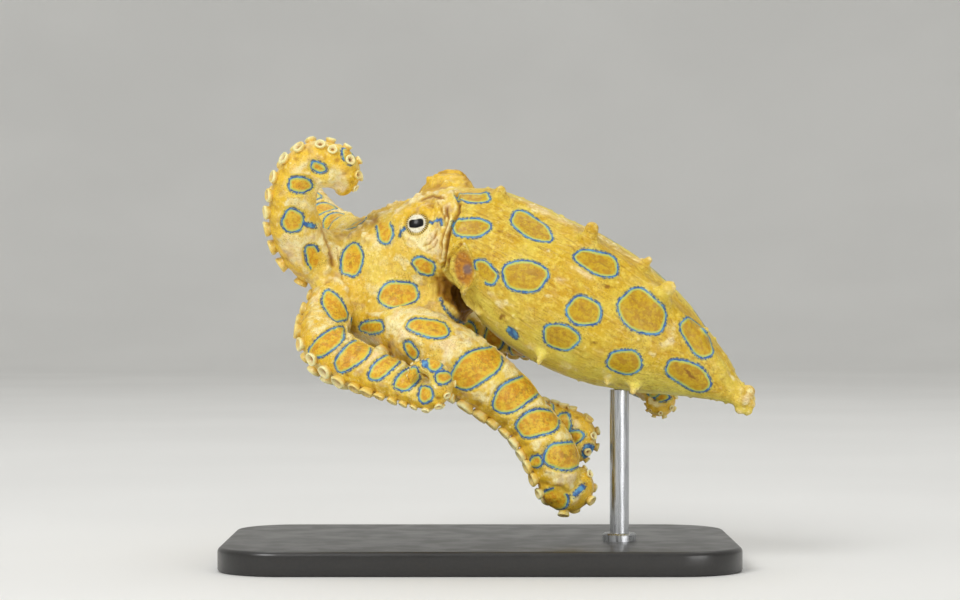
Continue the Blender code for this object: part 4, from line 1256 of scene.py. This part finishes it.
    # Deep shade where the head, the mantle and the arms meet
    under = bell(norms(p - seen(-3.4, -0.4, 3.0)), 4.0, 4)
    cheek = bell(np.hypot(flat[:, 0] + 4.6, (flat[:, 1] - 2.6) * 0.75), 1.5) * on_head
    dark_and_shade += under * np.where(on_mantle, 0.35, 0.9) * (1 - leaf) + 0.75 * cheek * facing_viewer
    cream_and_highlight -= under * 0.8 + cheek * 0.6

    # The belly is more olive, and the slope behind the crest takes the same olive as painted shade
    belly_and_slope_shade = smoothstep(0.4, -0.65, np.cos(s.angle)) * on_mantle + 0.5 * slope

    patches = np.zeros(s.count)
    for middle, halves, tilt, paler, darker in SEEN_PATCHES:
        turn = math.radians(tilt)
        off = flat + bend * 3 - np.array(middle)
        u = (off[:, 0] * math.cos(turn) + off[:, 1] * math.sin(turn)) / halves[0]
        v = (off[:, 1] * math.cos(turn) - off[:, 0] * math.sin(turn)) / halves[1]
        share = np.exp(-(u**2 + v**2)) * facing_viewer * on_mantle
        cream_and_highlight += paler * share
        patches = np.maximum(patches, darker * share)

    # Small papillae all over, and beads on the ridge of the head
    pick = list(rng.integers(0, s.count, PAPULE_COUNT))
    ridge = path_distance(flat, HEAD_RIDGE)
    crowded = np.flatnonzero(~on_mantle & (ridge < 2.2) & (n[:, 1] < 0.6))
    beads = set(rng.choice(crowded, BEAD_COUNT).tolist())
    # Painted shade along the ridge of the head, between its beads
    dark_and_shade += 0.35 * bell(ridge, 1.6) * ~on_mantle
    pick += sorted(beads)
    kd = KDTree(s.count)
    for i, point in enumerate(p):
        kd.insert(point, i)
    kd.balance()
    for k in pick:
        if marks.inside[k] > -0.5 or marks.line[k] < 0.5:
            continue
        if on_arm[k] and abs(s.angle[k]) < 1.6:
            continue
        size = rng.uniform(0.28, 0.5) if k in beads else rng.uniform(0.14, 0.3)
        height = size * rng.uniform(0.6, 1.05)
        for _, i, gap in kd.find_range(p[k], size * 2.4):
            bump = math.exp(-((gap / size) ** 2))
            move[i] += height * bump
            cream_and_highlight[i] += 0.45 * bump
            dark_and_shade[i] -= 0.3 * bump

    moved = p + n * move[:, None] + shift
    lie = np.where(on_mantle[:, None], stretched, p)
    soft = on_mantle.astype(float)
    for _ in range(16):
        soft = s.mean(soft)
    return moved, lie, {
        "cream_and_highlight": np.clip(cream_and_highlight, 0, 1), "dark_and_shade": np.clip(dark_and_shade, 0, 1),
        "yellow": np.clip(yellow, 0, 1), "belly_and_slope_shade": np.clip(belly_and_slope_shade, 0, 1),
        "flap": flap, "spot": spot, "leaf": leaf, "mantle": soft, "patches": patches,
    }


def colour(text):
    """A colour as the shader reads it, from six hexadecimal digits."""
    channels = [int(text[i : i + 2], 16) / 255 for i in (0, 2, 4)]
    linear = [c / 12.92 if c < 0.04045 else ((c + 0.055) / 1.055) ** 2.4 for c in channels]
    return (*linear, 1.0)


class Value:
    """A node's output, which takes part in sums and products."""

    def __init__(self, shader, socket):
        self.shader = shader
        self.socket = socket

    def __add__(self, other):
        return self.shader.math("ADD", self, other)

    def __sub__(self, other):
        return self.shader.math("SUBTRACT", self, other)

    def __mul__(self, other):
        return self.shader.math("MULTIPLY", self, other)


class Shader:
    """A material's nodes, made one expression at a time."""

    def __init__(self, name):
        self.material = bpy.data.materials.new(name)
        self.material.use_nodes = True
        self.tree = self.material.node_tree
        self.principled = self.tree.nodes["Principled BSDF"]
        self.place = self.node("TexCoord", "Object", {})

    def link(self, value, socket):
        """Joins a value to a socket, or sets it from numbers or from a colour's digits."""
        if isinstance(value, Value):
            self.tree.links.new(value.socket, socket)
        else:
            socket.default_value = colour(value) if isinstance(value, str) else value

    def node(self, kind, output, inputs, **settings):
        node = self.tree.nodes.new("ShaderNode" + kind)
        for name, value in settings.items():
            setattr(node, name, value)
        for name, value in inputs.items():
            self.link(value, node.inputs[name])
        return Value(self, node.outputs[output])

    def attribute(self, name, output="Fac"):
        return self.node("Attribute", output, {}, attribute_name=name)

    def math(self, operation, a, b=0.0, clamp=False):
        return self.node("Math", 0, {0: a, 1: b}, operation=operation, use_clamp=clamp)

    def ramp(self, value, low, high, start=0.0, end=1.0):
        inputs = {"Value": value, "From Min": low, "From Max": high, "To Min": start, "To Max": end}
        return self.node("MapRange", "Result", inputs, interpolation_type="SMOOTHSTEP")

    def noise(self, size, detail=2.0, offset=0.0, place=None, stretch=(1.0, 1.0, 1.0)):
        """Noise whose lumps are `size` millimetres across, from 0 to 1."""
        shift = (offset, offset * 0.7, offset * 0.3)
        place = self.node("Mapping", "Vector", {
            "Vector": place or self.place, "Location": shift, "Scale": stretch})
        return self.node("TexNoise", "Fac", {
            "Vector": place, "Scale": 1 / (size * MM * 1.6), "Detail": detail})

    def cells(self, size, feature="F1"):
        inputs = {"Vector": self.place, "Scale": 1 / (size * MM)}
        return self.node("TexVoronoi", "Distance", inputs, feature=feature)

    def mix(self, share, a, b):
        inputs = {"Factor": share, "A": a, "B": b}
        return self.node("Mix", "Result", inputs, data_type="RGBA", clamp_factor=True)

    def bump(self, height, strength, distance):
        inputs = {"Strength": strength, "Distance": distance * MM, "Height": height}
        self.link(self.node("Bump", "Normal", inputs), self.principled.inputs["Normal"])

    def finish(self, base, roughness, **settings):
        self.link(base, self.principled.inputs["Base Color"])
        self.link(roughness, self.principled.inputs["Roughness"])
        for name, value in settings.items():
            self.link(value, self.principled.inputs[name.replace("_", " ")])
        return self.material


def skin_material():
    m = Shader("octopus_skin")
    names = ("line", "inside", "cream_and_highlight", "dark_and_shade", "yellow", "mantle", "belly_and_slope_shade")
    line, inside, cream_and_highlight, dark_and_shade, yellow, mantle, belly_and_slope_shade = map(m.attribute, names)
    lie = m.attribute("lie", "Vector")

    patch = m.noise(3.2, 3.0)
    fleck = m.noise(0.42, 3.0, 3.0)
    base = m.mix(mantle, "E6CA5A", "D2AC20")
    base = m.mix(m.ramp(patch, 0.35, 0.65), base, m.mix(mantle, "E0B83C", "C89C1A"))
    base = m.mix(m.ramp(fleck, 0.45, 0.7) * 0.6, base, "EED65A")
    base = m.mix(yellow * 0.7, base, "E6B818")
    # Olive on the belly, and as painted shade on the slope behind the crest
    olive = m.ramp(m.noise(2.2, 2.0, 8.0), 0.42, 0.68) * mantle
    olive = m.math("ADD", olive * 0.35, belly_and_slope_shade * 0.75, True)
    base = m.mix(olive, base, "E4D864")
    mottle = cream_and_highlight + (fleck - 0.5) * 1.2
    base = m.mix(m.ramp(mottle, 0.25, 0.85, 0.0, 0.9), base, "F3E8B0")
    blotch = m.ramp(m.noise(0.55, 3.0, 20.0), 0.44, 0.62) * cream_and_highlight
    base = m.mix(blotch * 0.6, base, "E4C45E")
    pink = m.ramp(m.noise(1.3, 2.0, 5.0), 0.46, 0.66) * cream_and_highlight
    base = m.mix(pink * 0.55, base, "E6C498")

    # A faint mauve in places
    mauve = m.ramp(m.noise(1.5, 3.0, 17.0), 0.56, 0.72) * m.ramp(mantle, 0.0, 1.0, 0.45, 0.15)
    base = m.mix(mauve, base, "A98A80")

    # Brown from the dark mask, which holds painted shade in folds, creases and hollows as well as
    # darker skin, and fine streaks that follow the mantle
    brown_and_shade = dark_and_shade + (m.noise(0.7, 3.0, 6.0) - 0.5) * 0.7
    base = m.mix(m.ramp(brown_and_shade, 0.16, 0.85, 0.0, 0.8), base, "A26C1A")
    base = m.mix(m.ramp(brown_and_shade, 0.72, 1.15) * 0.75, base, "5E3116")
    streak = m.ramp(m.noise(0.2, 3.0, 13.0, lie), 0.52, 0.66)
    streak *= m.ramp(m.noise(1.8, 2.0, 14.0, lie), 0.36, 0.6)
    streak *= m.ramp(mantle, 0.0, 1.0, 0.25, 0.6)
    base = m.mix(streak * 0.75, base, "96661E")
    pale = m.ramp(m.noise(0.26, 2.0, 15.0, lie), 0.56, 0.72)
    pale *= m.ramp(dark_and_shade, 0.5, 0.2, 0.0, 0.28)
    base = m.mix(pale, base, "F6E08A")
    grit = m.ramp(m.noise(0.13, 3.0, 21.0), 0.5, 0.72, 0.0, 0.3)
    base = m.mix(grit, base, m.mix(mantle, "B98A34", "9C7A1C"))

    # The hollow of the mantle's free edge: orange-brown skin darkened with painted shade inside it
    flap = m.attribute("flap")
    hollow = m.mix(m.ramp(m.noise(0.3, 3.0, 18.0), 0.4, 0.6), "BC8022", "9A621C")
    speckle = m.ramp(m.cells(0.3), 0.42, 0.2) * m.attribute("leaf")
    base = m.mix(speckle * 0.6, base, "7C6A1A")
    base = m.mix(m.ramp(flap, 0.05, 0.7), base, hollow)
    base = m.mix(m.ramp(m.attribute("spot"), 0.1, 0.9, 0.0, 0.85), base, "75605E")

    # Papules, paler than the skin between them
    papule = m.ramp(m.cells(0.5), 0.4, 0.12) * m.ramp(m.noise(1.9, 2.0, 19.0), 0.38, 0.6)
    papule *= m.ramp(mantle, 0.0, 1.0, 0.6, 0.15)
    papule *= m.ramp(dark_and_shade, 0.5, 0.2)
    base = m.mix(papule, base, "F4E39A")

    # Inside a ring: ochre, darker toward the middle, with fine grains
    middle = m.ramp(inside, 0.1, 0.5)
    mottled = m.ramp(m.noise(0.4, 3.0, 2.0), 0.42, 0.6)
    ochre = m.mix(mottled, m.mix(mantle, "E0B62C", "C6A218"), m.mix(mantle, "CF8F1C", "B28416"))
    grains = m.ramp(m.noise(0.17, 3.0, 4.0), 0.48, 0.68) * m.ramp(inside, 0.3, 1.5)
    ochre = m.mix(grains * 0.6, ochre, "A0701C")
    heart = m.ramp(m.noise(0.5, 3.0, 16.0, lie), 0.5, 0.72) * m.ramp(inside, 0.7, 1.8)
    ochre = m.mix(heart * 0.7, ochre, "86581A")
    base = m.mix(middle * 0.85, base, ochre)

    rough = m.attribute("patches") + m.noise(0.3, 3.0, 22.0) - 0.5
    base = m.mix(m.ramp(rough, 0.25, 0.8, 0.0, 0.8), base, "7E4C14")

    # Fine dark specks all over
    dots = m.ramp(m.cells(0.24), 0.36, 0.14) * m.ramp(m.noise(1.6, 2.0, 7.0), 0.4, 0.6)
    base = m.mix(dots * 0.5, base, "7E5A20")

    # The blue line, with a pale green edge inside and a dark beaded edge outside
    near = line + (m.noise(0.24, 2.0, 1.0) - 0.5) * 0.2
    green = m.ramp(near, 0.45, 0.2) * m.ramp(inside, -0.2, 0.15, 0.35, 0.8)
    base = m.mix(green, base, "AEC66C")
    beads = m.ramp(near, 0.34, 0.2) * m.ramp(inside, -0.05, -0.15)
    beads *= m.ramp(m.noise(0.2, 1.0, 9.0), 0.4, 0.56)
    base = m.mix(beads * 0.85, base, "3B466A")
    blue = m.mix(m.ramp(m.noise(0.45, 2.0, 11.0), 0.38, 0.62), "35609E", "5F9CC4")
    blue = m.mix(m.ramp(near, 0.03, 0.15), blue, "2C4A84")
    base = m.mix(m.ramp(near, 0.15, 0.08), base, blue)

    wet = m.ramp(m.noise(0.8, 2.0, 12.0), 0.3, 0.7, 0.36, 0.56)
    pores = m.noise(0.2, 3.0, 0.0, lie) * 0.8 + m.cells(0.4, "SMOOTH_F1") * 0.6
    m.bump(pores, 0.7, 0.11)
    return m.finish(base, wet, Subsurface_Weight=0.06, Subsurface_Radius=(1.0, 0.55, 0.25),
                    Subsurface_Scale=0.001, Specular_IOR_Level=0.3, Coat_Weight=0.06,
                    Coat_Roughness=0.3)


def sucker_material():
    m = Shader("octopus_sucker")
    height = m.attribute("height")
    cup = m.attribute("cup")
    base = m.mix(m.ramp(height, 0.0, 0.85), "E0AE34", "EDE2A2")
    base = m.mix(m.ramp(m.noise(3.4, 1.0, 2.0), 0.44, 0.6, 0.0, 0.75), base, "E2BC48")
    base = m.mix(m.ramp(m.noise(0.5, 2.0), 0.45, 0.7) * 0.5, base, "DEDCA0")
    # Inside the cup the colour turns pinkish brown, and darker toward the bottom as painted shade
    # in the hollow
    base = m.mix(cup * 0.75, base, "C9A37A")
    base = m.mix(m.ramp(cup, 0.75, 1.0, 0.0, 0.8), base, "8A5A38")
    m.bump(m.noise(0.15, 2.0), 0.4, 0.05)
    return m.finish(base, 0.4, Subsurface_Weight=0.2, Subsurface_Radius=(1.0, 0.7, 0.4),
                    Subsurface_Scale=0.0012, Coat_Weight=0.25, Coat_Roughness=0.2)


def eye_material():
    m = Shader("octopus_eye")
    u = m.attribute("u")
    v = m.attribute("v")
    reach = m.math("SQRT", u * u + v * v)
    # The pupil is a lying bean with blunt ends
    dip = m.math("POWER", 2.718, u * u * -6.0)
    level = v + 0.03 + dip * 0.1
    wide = m.math("POWER", m.math("ABSOLUTE", m.math("DIVIDE", u, 0.92)), 4.0)
    high = m.math("POWER", m.math("ABSOLUTE", m.math("DIVIDE", level, 0.53)), 4.0)
    pupil = wide + high - 1.0

    iris = m.mix(m.ramp(m.noise(0.25, 2.0), 0.4, 0.65), "ECE8D4", "D6CFB4")
    iris = m.mix(m.ramp(reach, 1.08, 1.3), iris, "D9C06A")
    turn = m.math("ARCTAN2", v, u) * 32.0
    dashes = m.ramp(m.math("SINE", turn), -0.3, 0.3) * m.ramp(reach, 1.08, 1.16)
    dashes *= m.ramp(reach, 1.56, 1.4)
    dashes *= m.ramp(m.math("ABSOLUTE", u), 0.15, 0.8, 0.35, 1.0)
    iris = m.mix(dashes * 0.9, iris, "33241C")
    rim = m.ramp(pupil, 0.7, 0.1) * 0.5
    iris = m.mix(rim, iris, "8A7A62")
    base = m.mix(m.ramp(pupil, 0.12, -0.12), iris, "0A0A0C")
    return m.finish(base, 0.35, Specular_IOR_Level=0.2, Coat_Weight=0.22, Coat_Roughness=0.04)


def base_material():
    m = Shader("stand_black")
    grain = m.noise(0.25, 2.0, 1.0)
    base = m.mix(m.ramp(grain, 0.35, 0.7), "1F1E1D", "242221")
    rough = m.ramp(m.noise(2.5, 3.0), 0.3, 0.7, 0.3, 0.42)
    m.bump(grain, 0.12, 0.05)
    return m.finish(base, rough, Coat_Weight=0.3, Coat_Roughness=0.2)


def rod_material():
    m = Shader("stand_steel")
    streak = m.noise(0.12, 3.0, 1.0, stretch=(1.0, 1.0, 0.05))
    base = m.mix(m.ramp(streak, 0.3, 0.7), "A9ABAE", "C9CBCE")
    rough = m.ramp(streak, 0.3, 0.7, 0.22, 0.36)
    m.bump(streak, 0.1, 0.02)
    return m.finish(base, rough, Metallic=1.0)


def floor_material():
    m = Shader("pale_floor")
    base = m.mix(m.ramp(m.noise(60.0, 2.0), 0.3, 0.7), "E4E4E2", "E8E8E6")
    return m.finish(base, 0.7)


def skin_piece(arms):
    soup, spans, curves = build_soup(arms)
    mesh = outer_part(remeshed(soup.object("union", 1.0), VOXEL), "octopus_skin")
    points = get_points(mesh)
    edges = get_edges(mesh)
    near_crown = np.clip(1 - (norms(points - CROWN_CENTRE) - 7.0) / 4.0, 0.0, 1.0)[:, None]
    for step in range(SMOOTHINGS):
        share = 0.5 if step < FULL_SMOOTHINGS else 0.5 * near_crown
        points += (neighbour_mean(points, edges, len(points)) - points) * share
    set_points(mesh, points)
    surface = Surface(mesh, soup, spans, arms, curves)
    marks = draw_marks(surface)
    moved, lie, masks = shape_skin(surface, marks)
    set_points(mesh, moved * MM)
    masks["line"] = np.clip(marks.line, 0, FAR)
    masks["inside"] = np.clip(marks.inside, -FAR, FAR)
    for name, values in masks.items():
        put(mesh, name, values)
    attribute = mesh.attributes.new("lie", "FLOAT_VECTOR", "POINT")
    attribute.data.foreach_set("vector", (lie * MM).astype(np.float32).ravel())
    mesh.shade_smooth()
    mesh.materials.append(skin_material())
    return add_object("octopus_skin", mesh)


def sucker_piece(arms, skin):
    tree = bvh(skin.data)
    soup = Soup()
    heights = []
    cups = []
    turn = np.arange(SUCKER_SIDES) * 2 * math.pi / SUCKER_SIDES
    for arm in arms.values():
        for length, row, size in arm.sucker_rows():
            place, oral, side, radius = arm.at(length)
            across = math.sin(SUCKER_TURN) * side * row
            out = math.cos(SUCKER_TURN) * oral
            root = place + (out * ORAL_FLAT + across) * (radius - 0.12 * size)
            first, second, out = axes_from(out + across)
            lean = rng.uniform(-0.14, 0.14, 2)
            out = unit(out + first * lean[0] + second * lean[1])
            phase = rng.uniform(0, 6.28)
            size *= rng.uniform(0.88, 1.04)
            flat = as_seen(root[None, :])[0]
            if any(np.hypot(*(flat[:2] - spot)) < 0.9 and flat[2] < 3 for spot in FOLDED):
                continue
            # Left out where the rim would lie under the skin
            rim_place = Vector((root + out * size * 0.6) * MM)
            nearest, normal, _, _ = tree.find_nearest(rim_place)
            if (rim_place - nearest).dot(normal) < 0.15 * size * MM:
                continue
            rim = 1 + 0.045 * np.sin(3 * turn + phase) + 0.03 * np.sin(5 * turn - phase)
            spoke = np.outer(np.cos(turn), first) + np.outer(np.sin(turn), second)
            rings = []
            for k, (reach, rise) in enumerate(SUCKER_PROFILE):
                wave = rim if 2 < k < 9 else np.ones(SUCKER_SIDES)
                rings.append(root + (spoke * (reach * wave)[:, None] + out * rise) * size)
                heights += [rise] * SUCKER_SIDES
                cups += [0.0 if k < 8 else min(1.0, (k - 7) / 6)] * SUCKER_SIDES
            soup.loft(rings)
    obj = soup.object("octopus_suckers")
    put(obj.data, "height", heights)
    put(obj.data, "cup", cups)
    obj.data.shade_smooth()
    obj.data.materials.append(sucker_material())
    return obj


def eye_piece(name):
    centre, *axes = eye_frame(name)
    soup = Soup().ball(centre, (EYE_RADIUS,) * 3, axes, 96, 56)
    obj = soup.object(name + "_ball")
    off = np.concatenate(soup.points) - centre
    put(obj.data, "u", off @ axes[0])
    put(obj.data, "v", off @ axes[1])
    obj.data.shade_smooth()
    return obj


def turned(profile, sides, x=0.0, y=0.0):
    """Rings round an upright line, from their radii and levels."""
    return [circle((x, y, level), *np.eye(3)[:2], half, sides) for half, level in profile]


def stand_pieces():
    width, depth, height = BASE_SIZE
    rings = []
    profile = [(0.0, 0.3), (0.12, 0.08), (0.3, 0.0)]
    for turn in np.radians((0, 18, 36, 54, 72, 90)):
        profile.append((height - BASE_EDGE + BASE_EDGE * math.sin(turn),
                        BASE_EDGE * (1 - math.cos(turn))))
    for level, inset in profile:
        corner = BASE_CORNER - inset
        ring = []
        for cx, cy, start in ((1, 1, 0), (-1, 1, 90), (-1, -1, 180), (1, -1, 270)):
            for turn in np.radians(start + 90 * np.arange(17) / 16):
                ring.append((cx * (width / 2 - BASE_CORNER) + corner * math.cos(turn),
                             cy * (depth / 2 - BASE_CORNER) + corner * math.sin(turn), level))
        rings.append(np.array(ring))
    base = Soup().loft(rings).object("stand_base_block")
    _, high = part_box("stand_rod")
    collar = [(half, height + rise) for half, rise in ROD_COLLAR]
    rings = turned(collar + [(ROD_RADIUS, high[2] / MM - 0.02)], 48, *ROD_PLACE)
    rod = Soup().loft(rings).object("stand_rod_bar")
    for obj, material in ((base, base_material()), (rod, rod_material())):
        obj.data.materials.append(material)
        obj.data.shade_smooth()
        obj.data.set_sharp_from_angle(angle=math.radians(32))
    return base, rod


def studio():
    flat, radius, height = 0.9, 0.5, 1.4
    profile = [(0.01, 0.0), (0.4, 0.0), (flat, 0.0)]
    for turn in np.radians(range(6, 91, 6)):
        profile.append((flat + radius * math.sin(turn), radius * (1 - math.cos(turn))))
    profile.append((flat + radius, height))
    soup = Soup().loft(turned(profile, 128), capped=False)
    soup.faces.append(tuple(range(128)))
    floor = soup.object("pale_floor", scale=1.0)
    floor.data.shade_smooth()
    floor.data.materials.append(floor_material())

    world = bpy.data.worlds.new("studio")
    world.use_nodes = True
    background = world.node_tree.nodes["Background"]
    background.inputs["Color"].default_value = (1.0, 0.99, 0.97, 1.0)
    background.inputs["Strength"].default_value = 0.66
    bpy.context.scene.world = world
    bpy.context.scene.view_settings.view_transform = "Standard"
    for name, place, size, power in LIGHTS:
        light = bpy.data.lights.new(name, "AREA")
        light.size = size
        light.energy = power
        obj = add_object(name, light)
        obj.location = place
        aim = Vector((0.0, 0.0, 0.03)) - Vector(place)
        obj.rotation_euler = aim.to_track_quat("-Z", "Y").to_euler()

    camera = bpy.data.cameras.new("camera")
    camera.lens = 100.0
    camera.sensor_width = 36.0
    camera.clip_start = 0.01
    obj = add_object("camera", camera)
    obj.location = (0.0, (PLANE_Y - VIEW_DISTANCE) * MM, EYE_HEIGHT * MM)
    obj.rotation_euler = (math.pi / 2, 0.0, 0.0)
    bpy.context.scene.camera = obj


def main():
    studio()
    arms = {name: Arm(name) for name in ARM_ORDER}
    skin = skin_piece(arms)
    suckers = sucker_piece(arms, skin)
    flesh = [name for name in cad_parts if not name.startswith(("eye", "stand"))]
    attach(skin, "root")
    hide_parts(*flesh)
    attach(suckers, "root")
    finish = eye_material()
    for name in EYES:
        eye = eye_piece(name)
        eye.data.materials.append(finish)
        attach(eye, "root")
        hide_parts(name)
    for piece, name in zip(stand_pieces(), ("stand_base", "stand_rod")):
        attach(piece, "root")
        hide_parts(name)


main()
